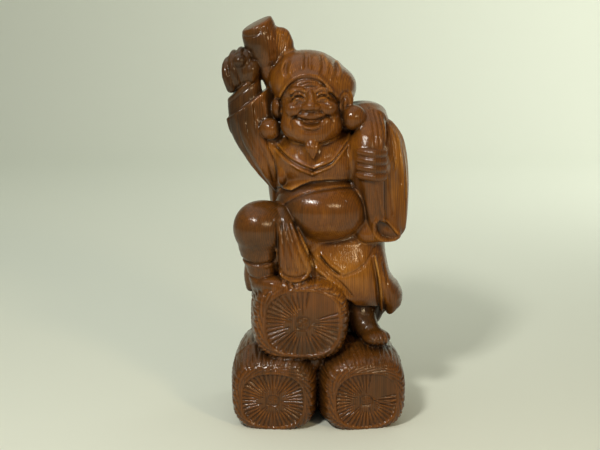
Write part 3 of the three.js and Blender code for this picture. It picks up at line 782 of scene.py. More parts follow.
@dataclass(frozen=True)
class Skirt:
    """The robe below the belly, whose hem climbs from the right to the raised thigh."""

    front: float = -6  # the depth before which the flap is scored
    fold_depth: float = 1.8
    fold_count: float = 11
    levels: Stops = (
        (76, -34, 56, -6, 42),
        (90, -40, 66, -18, 50),
        (104, -42, 71, -28, 52),
        (126, -40, 74, -40, 52),
        (150, -36, 71, -42, 50),
        (178, -34, 68, -34, 46),
        (190, -34, 66, -28, 44),
    )
    flare: Stops = (
        (62, -6, 156, 6, 22),
        (66, -8, 140, 8, 25),
        (72, -8, 127, 12, 24),
        (76, -7, 117, 11, 22),
        (74, -6, 105, 5, 18),
    )
    under: Line = (
        (-70, 60), (76, 60), (76, 101), (70, 103), (62, 111), (50, 114), (38, 116), (29, 126),
        (20, 138), (5, 150), (-10, 164), (-22, 184), (-40, 196), (-70, 196),
    )
    corner: Line = (
        (70, 84), (110, 84), (110, 140), (90, 124), (84, 112), (76, 105), (70, 102),
    )
    flap: Line = ((-22, 186), (-9, 164), (6, 149), (20, 138), (31, 124))
    flap_marks: Sequence[Mark] = ((-2, 2.4, (0, 0)), (1.2, 1, (3.4, 3.2)))
    creases: Sequence[Groove] = (
        Groove(((1, 169), (11, 157), (23, 148)), 2.4, 1.3, -6),
        Groove(((2, 172), (13, 160), (25, 151)), -1.8, 1.6, -6),
        Groove(((57, 177), (49, 162), (38, 153), (23, 147)), 1.6, 1.1, -6),
        Groove(((57, 166), (62, 140), (65.5, 106)), -2.6, 1.3, taper=False),
        Groove(((53.5, 164), (58.5, 140), (62, 108)), 1, 1.2),
        Groove(((64, 160), (69, 138), (72, 116)), 1.4, 1.4, 10),
        Groove(((40, 170), (46, 150), (47, 128)), 0.7, 1.2, -6),
    )

    def folds(self, angle: Array, share: Array) -> Array:
        """Upright folds, deeper behind, that die away upwards."""
        return self.fold_depth * np.sin(self.fold_count * angle) * (1 - share) * np.where(angle > 0, 1, 0.4)

    def carve(self, block: Block) -> None:
        """Adds the skirt and its flare, cuts it off at the hem, and scores its flap and creases.

        Args:
            block: The block of wood that is carved.
        """
        block.add(Column(self.levels, power=2.6, round=6, relief=self.folds), 3)
        block.add(Limb(self.flare), 6)
        block.cut(Slab(self.under, -70, -6), 2)
        block.cut(Slab(self.corner, -70, 70), 2)
        block.score(*side_by_side(self.flap, self.flap_marks, self.front, taper=False), *self.creases)


@dataclass(frozen=True)
class Bale:
    """One straw bale: a rounded square barrel with a rope rim round a fan of straw at each end."""

    middle: Spot
    yaw: float
    width: float = 90
    height: float = 87
    length: float = 134
    fan: float = 0.8  # the share of the end that is sunk
    fan_aside: float = 0  # how far the fan sits to the right of the middle, in half widths
    fan_drop: float = 0.1  # how far it sits below the middle, in half heights
    plain: tuple[float, float] = (0, 0)  # degrees between which the fan has no straw
    rim_share: float = 0.87  # the size of an end as a share of the middle of the barrel
    rim_drop: float = 0  # how much lower the top of an end is besides, as a share of the height
    power: float = 3
    fan_power: float = 2.6
    straws: int = 40
    straw_start: float = 0.2  # where the first straws of the fan start, as a share of the fan
    straw_uneven: float = 0.26  # how much further out the last of them start
    straws_along: int = 46
    rim_depth: float = 1.5
    straw_depth: float = 1.7
    straw_along_depth: float = 1.3
    straw_along_rise: float = 0.3  # how far the straw along the barrel stands out between its grooves
    rope_depth: float = 1.2
    knot_depth: float = 1.2
    knot: float = 0.16  # the size of the knot at the middle of the fan, as a share of the fan
    ring: float = 0.18  # the size of the ring round it
    ring_depth: float = 1.5
    rim_strands: int = 20
    rope_at: float = 0.5  # the place of the two ropes round the barrel, in half lengths
    rope_width: float = 0.035

    def box(self) -> Box:
        """The corners of a box that holds it at any yaw.

        Returns:
            The lowest and the highest corner.
        """
        across = math.hypot(self.width, self.length) / 2
        reach = np.array([across, across, self.height / 2])
        return self.middle - reach, self.middle + reach

    def end_depth(self, p: Array, q: Array) -> Array:
        """How far an end is cut back, at a place in half widths and half heights.

        The fan is sunk inside the rim, its straws are grooves that narrow towards the knot and
        start unevenly, and the rim has slanting strokes across it like the strands of a rope.
        Every edge is a ramp a few hundredths of the fan wide.

        Args:
            p: Place across, in half widths.
            q: Place up, in half heights.

        Returns:
            How much is cut back.
        """
        p, q = p - self.fan_aside, q + self.fan_drop
        share = (np.abs(p) ** self.fan_power + np.abs(q) ** self.fan_power) ** (1 / self.fan_power)
        out = share / self.fan
        angle = np.arctan2(q, p)
        degrees = np.degrees(angle)
        bare = (degrees > self.plain[0]) & (degrees < self.plain[1])
        turn = self.straws * angle / (2 * np.pi)
        start = self.straw_start + self.straw_uneven * unevenness(np.round(turn))
        drawn = ramp(out, start, 0.06) * ramp(out, 0.97, -0.04) * ~bare
        straw = self.straw_depth * wave(2 * np.pi * turn) ** 2 * drawn
        sunk = self.rim_depth * ramp(share, self.fan, -0.03)
        rope = self.rope_depth * wave(self.rim_strands * angle + 84 * share) ** 2 * ramp(out, 1.02, 0.05)
        knot = self.knot_depth * wave(5 * angle + 9 * share) * ramp(out, self.knot, -0.05)
        ring = self.ring_depth * bell((out - self.ring) / 0.03)
        return sunk + straw + rope + knot + ring

    def depth_along(self, angle: Array, run: Array) -> Array:
        """How far the barrel is cut back: grooves of straw along it, and two ropes round it.

        Args:
            angle: The angle round the barrel.
            run: Place along it, from -1 in front to 1 behind.

        Returns:
            How much is cut back, negative where the straw or a rope stands out.
        """
        wander = 0.4 * np.sin(5 * run + 4 * np.round(8 * angle))
        turn = self.straws_along * angle / (2 * np.pi) + wander
        straw = self.straw_along_depth * wave(2 * np.pi * turn) ** 2 - self.straw_along_rise
        rope = bell((np.abs(run) - self.rope_at) / self.rope_width)
        strands = wave(60 * angle + 90 * run)
        return straw * (1 - rope) + rope * (0.6 * strands - 0.9)

    def distance(self, x: Array, y: Array, z: Array) -> Array:
        """The distance to the barrel, with straw along its sides and its ends cut back.

        Args:
            x: Place across.
            y: Depth, from front to back.
            z: Height.

        Returns:
            The distance at each place, negative inside.
        """
        c, s = math.cos(math.radians(self.yaw)), math.sin(math.radians(self.yaw))
        dx, dy, w = x - self.middle[0], y - self.middle[1], z - self.middle[2]
        u, v = c * dx + s * dy, c * dy - s * dx
        run = np.clip(2 * v / self.length, -1, 1)
        near_end = np.abs(run) ** 2.5
        bulge = 1 - (1 - self.rim_share) * near_end
        drop = self.rim_drop * self.height / 2 * near_end
        w = w + drop
        a, b = self.width / 2 * bulge, self.height / 2 * bulge - drop
        side = square_distance(u, w, a, b, self.power)
        side = side + self.depth_along(np.arctan2(w / b, u / a), run)
        end = np.abs(v) - self.length / 2 + self.end_depth(u / a, w / b)
        return smooth_max(side, end, 0.1 * self.width)


@dataclass(frozen=True)
class Bales:
    """Three bales: two on the ground, and one across the hollow between them."""

    width: float = 90
    height: float = 90
    seat: float = 0.423  # the middle of a lower bale over the ground, in heights
    nest: float = 0.79  # the middle of the upper bale over theirs, in heights
    left: float = -0.44  # how far right the middle of the left lower bale is, in widths
    right: float = 0.41  # how far right the middle of the right one is
    top: float = -0.2  # how far right the middle of the upper one is
    top_width: float = 1.09  # the upper bale's width, in widths
    top_length: float = 123.3
    bare_edge: Line = ((50, 34), (58, 27), (69, 24), (80, 27))  # of the right fan's plain stretch
    bare_marks: Sequence[Mark] = ((-1.2, 0.8, (0, 0)), (0.8, 0.8, (0, -1.6)))
    left_over: Sequence[Added] = (
        (Limb(((-2, -42, 62, 9), (-2, 50, 62, 9)), 1), 3),  # between the three bales
        (Limb(((-14, -28, 150, 13), (8, -30, 147, 12)), 1), 3),  # between the upper bale and the skirt
    )

    def carve(self, block: Block) -> None:
        """Adds the bales, and the wood left between them and under the skirt.

        Args:
            block: The block of wood that is carved.
        """
        low = GROUND + self.seat * self.height
        high = low + self.nest * self.height
        size = {"width": self.width, "height": self.height, "rim_drop": 0.1}
        block.add(Bale((self.width * self.left, 0, low), -4, **size), 1)
        block.add(Bale((self.width * self.right, 0, low), 10, plain=(14, 74), **size), 1)
        upper = Bale(
            (self.width * self.top, -1, high), 1, width=self.width * self.top_width,
            length=self.top_length, rim_share=0.9, fan=0.84, fan_aside=0.05, fan_drop=0.02, plain=(22, 78),
        )
        block.add(upper, 1)
        block.score(*side_by_side(self.bare_edge, self.bare_marks, -40))
        block.build_up(*self.left_over)


@dataclass(frozen=True)
class Legs:
    """The raised leg on the upper bale, and the one that stands on a lower bale."""

    thigh: Stops = ((6, -4, 186, 24), (-24, -20, 190, 26), (-50, -34, 196, 26))
    knee: Egg = Egg((-57, -38, 196), (26, 26, 27))
    shin: Stops = (
        (-57, -36, 186, 22.5),
        (-57, -36, 173, 19.5),
        (-55, -36, 162, 16.5),
        (-53.5, -35, 150, 15),
        (-52.5, -32, 138, 14),
    )
    bands: Sequence[Groove] = (
        Groove(((-80, 168), (-60, 163), (-36, 166)), 1.8, 1.3, 30, taper=False),
        Groove(((-72, 163), (-58, 160), (-36, 163)), -0.9, 1.3, -20),
        Groove(((-76, 151), (-56, 147), (-38, 150)), 1.5, 1.2, 20, taper=False),
    )
    behind_shin: Stops = (
        (-65, -24, 170, 8, 12),
        (-65.5, -22, 158, 7, 12),
        (-66.5, -22, 144, 7, 10),
        (-66.5, -23, 133, 5, 6),
    )
    raised_foot: Stops = (
        (-58, -40, 141, 7, 8),
        (-44, -50, 142, 9, 11),
        (-28, -52, 139, 8, 9),
        (-18, -52, 137, 5, 6),
    )
    hang: Stops = (
        (-35, -38, 210, 8, 12),
        (-30, -48, 194, 12, 13),
        (-25, -52, 174, 16, 12),
        (-22, -52, 157, 16.5, 9),
        (-19, -50, 147, 9, 7),
    )
    under_hang: Sequence[Added] = (
        (Egg((-24, -32, 156), (18, 16, 20)), 3),
        (Egg((-22, -32, 172), (12, 15, 14)), 3),
        (Egg((-38, -38, 167), (8, 10, 15)), 3),
    )
    hem: Line = ((-37, 158), (-35, 152), (-30, 148.5), (-22.5, 147), (-14, 149), (-9.5, 154))
    hem_marks: Sequence[Mark] = ((-1.5, 1.4, (0, 0)), (1.2, 1.2, (0, 3.8)))
    pleats: Sequence[Point] = ((-40, 2), (-36, 7), (-32, 12), (-28, 18), (-24, 22))  # x, and its shift
    standing_leg: Stops = ((42, 2, 130, 18), (43, -6, 106, 17), (47, -15, 93, 14), (57, -28, 84, 9))
    standing_foot: Egg = Egg((59, -33, 83), (14, 15, 8.5), (0, 0, 24))
    toe_gap: float = 6  # between the toes of the raised foot
    standing_toe_gap: float = 4.4

    def raised(self, block: Block) -> None:
        """Adds the raised thigh, knee, shin and foot, the bands below the knee, and the toes.

        Args:
            block: The block of wood that is carved.
        """
        block.add(Limb(self.thigh), 4)
        block.add(self.knee, 4)
        block.add(Limb(self.shin), 1.5)
        block.score(*self.bands)
        block.add(Limb(self.behind_shin), 2)
        block.add(Limb(self.raised_foot, across=UP), 2)
        for n in range(3):
            x = -36 + self.toe_gap * n
            block.score(Groove(((x, 150 - n), (x + 2, 142 - n), (x + 1, 135)), 1, 1, -50))

    def drape(self, block: Block) -> None:
        """Adds the cloth that falls over the raised thigh and what fills it, and scores its pleats.

        Args:
            block: The block of wood that is carved.
        """
        block.add(Limb(self.hang), 2)
        block.build_up(*self.under_hang)
        block.score(*side_by_side(self.hem, self.hem_marks, -30))
        for x, shift in self.pleats:
            block.score(Groove(((x, 206), (x + 0.4 * shift, 184), (x + shift, 155)), 1.7, 1.2, -20))

    def standing(self, block: Block) -> None:
        """Adds the standing leg and its foot, with toes to the right.

        Args:
            block: The block of wood that is carved.
        """
        block.add(Limb(self.standing_leg), 2)
        block.add(self.standing_foot, 3)
        for n in range(4):
            x = 56 + self.standing_toe_gap * n
            block.score(Groove(((x, 90), (x + 2, 82), (x + 2, 76)), 1.1, 0.9, -36))

    def carve(self, block: Block) -> None:
        """Adds both legs and the cloth over the raised one.

        Args:
            block: The block of wood that is carved.
        """
        self.raised(block)
        self.drape(block)
        self.standing(block)


@dataclass(frozen=True)
class SackArm:
    """The arm at the right, whose hand holds the neck of the sack against the chest."""

    sleeve: Stops = (
        (180, 64, 82, -24, 4),
        (192, 56, 88, -30, 14),
        (212, 52, 90, -30, 20),
        (240, 50, 90.5, -27, 24),
        (264, 46, 88.5, -24, 26),
        (282, 42, 84, -20, 24),
        (296, 36, 74, -14, 20),
        (307, 32, 58, -8, 14),
    )
    neck: Stops = (
        (60, -30, 190, 8, 6),
        (56, -38, 214, 9, 6),
        (53, -42, 245, 11, 7),
        (50, -42, 268, 13, 8),
        (51, -38, 284, 14.5, 9),
        (51, -16, 300, 17, 12),
        (46, 8, 302, 24, 14),
        (42, 26, 292, 32, 18),
    )
    beside_neck: Stops = ((57, -20, 188, 10), (51, -24, 218, 12), (46, -29, 258, 16), (42, -29, 276, 14))
    under_sleeve: Stops = ((65, -20, 192, 11), (65, -21, 222, 13), (65, -22, 252, 13))
    elbow: Egg = Egg((46, -24, 194), (12, 10, 14))
    lip: Stops = ((48, -28, 188, 9), (62, -29, 188, 8), (77, -27, 188, 6))
    mouth: Line = (
        (57.5, 199), (60.5, 203.5), (67, 199), (75, 191), (79.5, 186), (70, 184.5), (63, 187), (59, 192),
    )
    mouth_edges: Sequence[Groove] = (
        Groove(((60, 206.5), (55, 200), (55.5, 191), (61, 184), (70, 181.5), (80, 182.5)), -2, 1.5, -10),
        Groove(((63, 206), (69, 201), (76, 193), (81, 187)), -1, 1.1, -10),
    )
    creases: Sequence[Line] = (
        ((49, 314), (53, 298), (55, 277)),
        ((54, 312), (58, 296), (59, 277)),
        ((59, 308), (63, 292), (63, 277)),
        ((65, 304), (67.5, 290), (67, 276)),
        ((69, 294), (74, 276), (75, 250)),
        ((76, 288), (81, 266), (82, 235)),
        ((82, 276), (86, 252), (87, 220)),
        ((68, 250), (72, 226), (74, 206)),
        ((56, 240), (60, 222), (62, 208)),
        ((50, 242), (54, 222), (57, 206)),
    )
    fold_depth: float = 1.3
    hand: Egg = Egg((58, -34, 259), (12, 12, 15.5))
    first_finger: float = 271  # its height
    finger_gap: float = 7.6

    def folds(self, angle: Array, share: Array) -> Array:
        """Slanting folds that die away towards the shoulder."""
        return self.fold_depth * np.sin(8 * angle + 3 * share) * (1 - share * 0.5)

    def finger(self, n: int) -> Limb:
        """The finger n below the first."""
        z = self.first_finger - n * self.finger_gap
        return Limb(((63, -43, z, 4.2), (53, -52, z + 1, 4.4), (40, -46, z + 2, 3.9)), 4, UP)

    def carve(self, block: Block) -> None:
        """Adds the sleeve, the neck of the sack, and the hand round it.

        Args:
            block: The block of wood that is carved.
        """
        block.add(Column(self.sleeve, relief=self.folds), 3)
        block.add(Limb(self.neck, steps=14), 3)
        block.add(Limb(self.beside_neck), 4)
        block.add(Limb(self.under_sleeve), 4)
        block.add(self.elbow, 3)
        block.add(Limb(self.lip, across=UP), 3)
        block.cut(Slab(self.mouth, -60, -31), 3)
        block.score(*self.mouth_edges)
        block.add(self.hand, 4)
        for n in range(4):
            block.add(self.finger(n), 0.8)
        block.score(*(Groove(line, 1.2, 1.1, 40) for line in self.creases))


@dataclass(frozen=True)
class RaisedArm:
    """The arm at the left, raised in a wide sleeve, with a fist round the mallet's handle."""

    sleeve: Stops = (
        (228, -46, -34, -10, 12),
        (244, -59, -28, -17, 18),
        (262, -72, -26, -21, 22),
        (280, -84, -30, -22, 23),
        (300, -90, -38, -20, 20),
        (330, -90, -44, -17, 17),
    )
    armpit: Egg = Egg((-35, -24, 246), (6, 9, 10))
    sleeve_end: Line = ((-110, 285), (-38, 338), (-38, 360), (-110, 360))
    cuff: Stops = ((-68, 0, 290, 18, 15), (-71, 0, 314, 18, 15), (-73, 0, 350, 15, 13))
    cuff_end: Line = ((-110, 300), (-30, 372), (-30, 400), (-110, 400))
    cuff_seam: Line = ((-92, 311), (-74, 326), (-54, 343))
    wrist: Stops = ((-70, 0, 316, 12), (-75, 0, 345, 12))
    back_of_hand: Egg = Egg((-75, 1, 350), (17, 13, 17))
    knuckles: Sequence[Point] = ((-88, 356), (-82, 363), (-75, 366), (-68, 366))
    palm: Sequence[Added] = (
        (Egg((-80, -6, 337), (8, 8, 7)), 2),
        (Egg((-84, -5, 347), (6, 8, 12)), 2),
        (Egg((-76, -13, 357), (7, 7, 7)), 0.8),
        (Egg((-66, -9, 347), (8.5, 9, 11.5), (0, 25, 0)), 1),  # the ball of the thumb
    )
    palm_line: Line = ((-87, 352), (-88, 342), (-85, 334))
    fold_depth: float = 1.2
    creases: int = 5
    crease_gap: float = 8.5

    def folds(self, angle: Array, share: Array) -> Array:
        """Slanting folds that die away upwards."""
        return self.fold_depth * np.sin(9 * angle + 4 * share) * (1 - share * 0.5)

    def carve(self, block: Block) -> None:
        """Adds the sleeve, cuts its slanting mouth, and adds the cuff, the wrist and the fist.

        Args:
            block: The block of wood that is carved.
        """
        block.add(Column(self.sleeve, round=6, relief=self.folds), 5)
        block.add(self.armpit, 3)
        for n in range(self.creases):
            x = -88 + self.crease_gap * n
            line = ((x, 304 + 4 * n), (x + 4, 282), (x + 17 - n, 256), (x + 34 - 5 * n, 236))
            block.score(Groove(line, 1.1, 1))
        block.cut(Slab(self.sleeve_end, -40, 40), 1)
        block.add(Limb(self.cuff), 1.5)
        block.cut(Slab(self.cuff_end, -40, 40), 1)
        block.score(Groove(self.cuff_seam, 1, 1, taper=False))
        block.add(Limb(self.wrist), 1.5)
        self.fist(block)

    def fist(self, block: Block) -> None:
        """Adds the fist: its back, four fingers bent over from the knuckles, the palm and the thumb.

        Args:
            block: The block of wood that is carved.
        """
        block.add(self.back_of_hand, 2)
        for x, top in self.knuckles:
            finger = (
                (x, 3, top, 4),
                (x - 1, -7, top - 4, 4.8),
                (x - 1, -12, top - 14, 4.6),
                (x + 3, -11, top - 26, 4.4),
            )
            block.add(Limb(finger, steps=6), 0.8)
        block.build_up(*self.palm)
        block.score(Groove(self.palm_line, 1, 0.8, -8))


Bump = tuple[float, float, float, Spot, float]  # across, y, up, half axes and blend


@dataclass(frozen=True)
class Head:
    """The laughing head in its soft cap, with long ear lobes and a tuft of beard.

    The features are set out in pairs, across and up from the middle of the face, on a line that
    leans with the head. They are those of any laughing god of this kind.
    """

    middle: Point = (-7, 318)
    lean: float = 2  # degrees that the face leans, lower at the left
    skull: Sequence[Egg] = (
        Egg((-7, -14, 320), (29, 34, 34)),
        Egg((-6, -28, 311), (27, 23, 24)),
        Egg((-6, -28, 297), (30.5, 24.5, 20)),
    )
    neck: Sequence[Added] = (
        (Egg((-5, -18, 284), (22, 18, 14)), 4),
        (Egg((-5, -36, 275), (9, 10, 12)), 3),
        (Limb(((-38, -4, 292, 13), (-6, -4, 296, 16), (30, -6, 300, 14)), 4), 4),
    )
    chin: Bump = (0.5, -44, -29, (17, 8.5, 9), 4)
    pairs: Sequence[Bump] = (
        (15.5, -43, -4, (9.5, 7.5, 8), 3),  # the cheeks
        (12, -43, 13, (9, 6, 5), 4),  # the brows
        (5.6, -50.5, -2.2, (3.6, 4.6, 3.4), 2),  # the wings of the nose
        (12, -42.5, 6.6, (6.5, 5, 4.4), 1.5),  # the eyes
    )
    ridge: Sequence[Bump] = (
        (0, -33, 20, (22, 9, 11), 5),  # the forehead
        (0, -48.5, 6, (3.6, 5, 9), 3),  # the bridge of the nose
        (0, -53, -0.6, (5.2, 4.6, 4.4), 2.5),  # its tip
    )
    features: Sequence[tuple[Line, float, float]] = (
        (((3.5, 11), (9, 15.5), (15, 15), (20.5, 9)), -1.3, 1.3),  # the eyebrows
        (((4, 9.5), (10, 12.6), (16, 11.6), (20, 6.5)), 1.3, 0.9),  # below them
        (((5.5, 5.6), (9, 8.4), (14, 8.2), (18.5, 4)), 1.9, 0.9),  # the closed eyes
        (((5.5, 4), (10, 6.2), (14, 6), (18, 2.4)), -0.9, 1),  # their lower lids
        (((6, 1.6), (11, 2.6), (17, -0.6)), 1.2, 0.8),  # below the lids
        (((19.5, 6), (23, 7)), 0.8, 0.7),  # the wrinkles beside the eyes
        (((19.5, 4), (23.5, 3.4)), 0.8, 0.7),
        (((6.8, -3.5), (13, -9.5), (20, -13.5)), 1.9, 1.3),  # from the nose round the cheeks
        (((2.2, -4.6), (3.4, -4.9)), 1.6, 1),  # the nostrils
        (((-17, -10.5), (-9, -13.4), (0, -14.4), (9, -13.4), (17, -10.5)), 2.6, 1.2),  # the smile
        (((-11, -14.8), (0, -17.4), (11, -14.8)), 4.4, 1.9),  # the open mouth
        (((-10, -19), (0, -21.6), (10, -19)), -2, 1.6),  # the lower lip
        (((-9, -23), (0, -25), (9, -23)), 1.4, 1.4),  # below it
        (((1, -8.6), (8, -9.8), (15, -7.4)), -1.3, 1.2),  # the upper lip
        (((18, -12), (20.5, -17), (17, -23)), 1, 1.3),  # beside the mouth
        (((-11, 18.6), (0, 20.8), (11, 18.6)), 1, 0.8),  # the wrinkles of the forehead
        (((-7, 16), (0, 17.6), (7, 16)), 1, 0.8),
    )
    left_ear: Egg = Egg((-39, -16, 312), (6, 10, 12))
    left_fold: Groove = Groove(((-42, 320), (-38, 321), (-36, 314), (-38, 307)), 1.4, 1)
    left_lobe: Egg = Egg((-46.5, -22, 292), (10.5, 10.5, 10.5))
    right_ear: Egg = Egg((26, -25, 318), (8.5, 7, 13), (0, 10, 0))
    right_folds: Sequence[Groove] = (
        Groove(((21, 308), (19.5, 318), (23.5, 328), (30, 328), (33, 319)), 1.2, 1),
        Groove(((24, 310), (23.5, 318), (27, 324), (30, 319), (28, 312)), 1.8, 1.3),
    )
    right_lobe: Egg = Egg((34.7, -28, 303.5), (12.5, 12.5, 12.5))
    beard: Stops = ((-6, -48, 284, 6, 4), (-5.5, -51, 277, 6.4, 4.5), (-5, -51, 268, 1.6, 1.5))
    crown: Egg = Egg((-6, -5, 335), (42.5, 41, 31.5), (6, 12, 0))
    side_of_crown: Egg = Egg((26, -3, 332), (11.5, 25, 17))
    slope: Half = Half((21, 0, 356.5), (0.65, 0, 0.76))
    band: Line = (
        (-39, 319), (-33, 332), (-27, 340), (-19, 345.5), (-10, 347), (-1, 345), (6, 340), (13, 332),
        (21, 321),
    )
    band_marks: Sequence[Mark] = ((-2, 1.9, (0, 0)), (1.7, 1.1, (0, -4.6)), (0.8, 2.2, (0, 4.6)))
    dents: Stops = ((-28, 359, 343, -3), (-11.6, 366, 349, 0), (2, 364, 346, 3), (14, 359, 342, 4))
    dent_marks: Sequence[Mark] = ((1.9, 2.2, (0, 0)), (-1.2, 1.5, (3.8, 0)), (-1.2, 1.5, (-3.8, 0)))

    def spot(self, across: float, up: float) -> Point:
        """The x and z of a place across and up from the middle of the face."""
        c, s = math.cos(math.radians(self.lean)), math.sin(math.radians(self.lean))
        return self.middle[0] + c * across - s * up, self.middle[1] + s * across + c * up

    def bump(self, block: Block, across: float, y: float, up: float, radii: Spot, blend: float) -> None:
        """Adds an ellipsoid on the face, that leans with it.

        Args:
            block: The block that is carved.
            across: How far right of the middle of the face it is.
            y: Its depth.
            up: How far above the middle of the face it is.
            radii: Its half axes.
            blend: What it flows into the face over.
        """
        x, z = self.spot(across, up)
        block.add(Egg((x, y, z), radii, (0, -self.lean, 0)), blend)

    def round_forms(self, block: Block) -> None:
        """Adds the head, the neck, the chin, the cheeks, the brows and the nose.

        Args:
            block: The block of wood that is carved.
        """
        block.add(Blended(self.skull, 5), 4)
        block.build_up(*self.neck)
        self.bump(block, *self.chin)
        for side in (-1, 1):
            for across, *rest in self.pairs:
                self.bump(block, across * side, *rest)
        for form in self.ridge:
            self.bump(block, *form)

    def scored_features(self, block: Block) -> None:
        """Scores each feature, and its mirror image where it is to one side of the face.

        Args:
            block: The block of wood that is carved.
        """
        for stops, depth, width in self.features:
            sides = (-1, 1) if min(abs(across) for across, _ in stops) > 0.1 else (1,)
            for side in sides:
                line = [self.spot(side * across, up) for across, up in stops]
                block.score(Groove(line, depth, width, -20))

    def tuft(self, block: Block) -> None:
        """Adds the tuft of beard, with strands.

        Args:
            block: The block of wood that is carved.
        """
        block.add(Limb(self.beard), 1)
        for x in (-9, -5.5, -2):
            block.score(Groove(((x, 283), (0.6 * x - 2.2, 272)), 0.8, 0.8, -40))

    def ears(self, block: Block) -> None:
        """Adds the ears and their long lobes.

        Args:
            block: The block of wood that is carved.
        """
        block.add(self.left_ear, 3)
        block.score(self.left_fold)
        block.add(self.left_lobe, 0.8)
        block.add(self.right_ear, 1.5)
        block.score(*self.right_folds)
        block.add(self.right_lobe, 0.8)

    def cap(self, block: Block) -> None:
        """Adds the soft cap, slopes it down to the right, and scores its band and the dents above.

        Args:
            block: The block of wood that is carved.
        """
        block.add(self.crown, 1)
        block.add(self.side_of_crown, 5)
        block.cut(self.slope, 6)
        block.score(*side_by_side(self.band, self.band_marks, -12))
        for x, top, low, bend in self.dents:
            dent = ((x, top), (x + bend, 0.5 * (top + low)), (x + 0.6 * bend, low))
            block.score(*side_by_side(dent, self.dent_marks, -2))

    def carve(self, block: Block) -> None:
        """Carves the head from the neck up, and its features last.

        Args:
            block: The block of wood that is carved.
        """
        self.round_forms(block)
        self.cap(block)
        self.tuft(block)
        self.ears(block)
        self.scored_features(block)


@dataclass(frozen=True)
class Mallet:
    """The mallet of fortune over the fist: a waisted head, its second face behind, and a handle."""

    face: Stops = ((-60, 2, 400, 13), (-57, 2, 383, 17.5), (-52, 2, 365, 17), (-46, 2, 346, 11))
    second: Stops = ((-36, 6, 379, 9.5), (-35, 6, 369, 12), (-39, 5, 356, 13), (-43, 4, 346, 11))
    between: Stops = ((-47, 3, 374, 9), (-46, 3, 348, 10), (-45, 3, 336, 8))
    handle: Stops = ((-84, 0, 356, 4.5), (-58, 2, 362, 4.5))
    flat: Half = Half((-59, 0, 393), (-0.45, -0.12, 0.88))
    rim: Line = ((-76, 381), (-67, 380), (-58, 383), (-52, 393))
    strokes: int = 8  # of the gouge, on the rough wood of the second face

    def carve(self, block: Block) -> None:
        """Adds the two faces of the head and the handle, and cuts the near face flat.

        Args:
            block: The block of wood that is carved.
        """
        block.add(Limb(self.face), 1)
        block.add(Limb(self.second), 6)
        block.add(Limb(self.between, steps=3), 4)
        block.cut(self.flat, 2.5)
        block.score(Groove(self.rim, 0.9, 0.8))
        for n in range(self.strokes):
            top = 384 + 3 * math.sin(2.4 * n)
            block.score(Groove(((-50 + 3 * n, top), (-47 + 2 * n, 368), (-44 + n, 350)), 0.9, 0.8, 10))
        block.add(Limb(self.handle, steps=1), 1.5)


# Finishes

class Sum(Enum):
    """The sums that a finish works out, by their names in Blender's Math node."""

    TIMES = "MULTIPLY"
    TIMES_PLUS = "MULTIPLY_ADD"
    LESS = "SUBTRACT"
    POWER = "POWER"
    PART_OF_ONE = "FRACT"


class Mixing(Enum):
    """The ways in which one colour is laid over another, by their names in Blender's Mix node."""

    COVER = "MIX"
    SHADE = "MULTIPLY"


class Nodes:
    """The nodes of a material, made one after another."""

    def __init__(self, name: str) -> None:
        """Makes a material with one shader and its output.

        Args:
            name: The material's name.
        """
        self.material = bpy.data.materials.new(name)
        self.material.use_nodes = True
        self.tree = self.material.node_tree
        self.shader = self.tree.nodes["Principled BSDF"]

    def add(self, kind: str, *inputs: object, out: int | str = 0, **settings: object) -> Socket:
        """Adds a node.

        Args:
            kind: The node's type, without the words that all types share.
            inputs: A socket, a value or None for each input in turn.
            out: Which output is wanted.
            settings: Properties of the node.

        Returns:
            The output.
        """
        node = self.tree.nodes.new("ShaderNode" + kind)
        for key, value in settings.items():
            setattr(node, key, value)
        for socket, given in zip(node.inputs, inputs):
            self.feed(socket, given)
        return node.outputs[out]

    def feed(self, socket: Socket, given: object) -> None:
        """Links an input to a socket, or sets its value; None leaves it as it is.

        Args:
            socket: The input.
            given: A socket, a value or None.
        """
        if isinstance(given, Socket):
            self.tree.links.new(given, socket)
        elif given is not None:
            socket.default_value = given

    def sum(self, kind: Sum, *inputs: object) -> Socket:
        """Adds a sum of two or three numbers."""
        return self.add("Math", *inputs, operation=kind.value)

    def noise(self, place: Socket, scale: float, detail: float = 2) -> Socket:
        """Adds a noise from about 0 to 1, with so many grains to the metre."""
        return self.add("TexNoise", place, None, scale, detail)

    def scaled(self, place: Socket, scale: Spot) -> Socket:
        """Stretches a place."""
        return self.add("VectorMath", place, scale, operation="MULTIPLY")

    def attribute(self, name: str) -> Socket:
        """Reads a number that the mesh has at each corner."""
        return self.add("Attribute", out="Fac", attribute_name=name)

    def ramp(self, given: Socket, stops: Sequence[tuple[float, Spot]]) -> Socket:
        """Adds a run of colours.

        Args:
            given: The number that picks the colour.
            stops: The place and the colour of each stop.

        Returns:
            The colour.
        """
        colour = self.add("ValToRGB", given)
        elements = colour.node.color_ramp.elements
        while len(elements) < len(stops):
            elements.new(0.5)
        for element, (place, shade) in zip(elements, stops):
            element.position, element.color = place, (*shade, 1)
        return colour

    def mixed(self, share: object, a: object, b: object, kind: Mixing = Mixing.COVER) -> Socket:
        """Lays a share of colour b over colour a.

        Args:
            share: How much of b is laid over a.
            a: The colour below.
            b: The colour above.
            kind: How it is laid over.

        Returns:
            The mixed colour.
        """
        colour = self.add("Mix", out=2, data_type="RGBA", blend_type=kind.value)
        for socket, given in zip((colour.node.inputs[0], *colour.node.inputs[6:8]), (share, a, b)):
            self.feed(socket, given)
        return colour


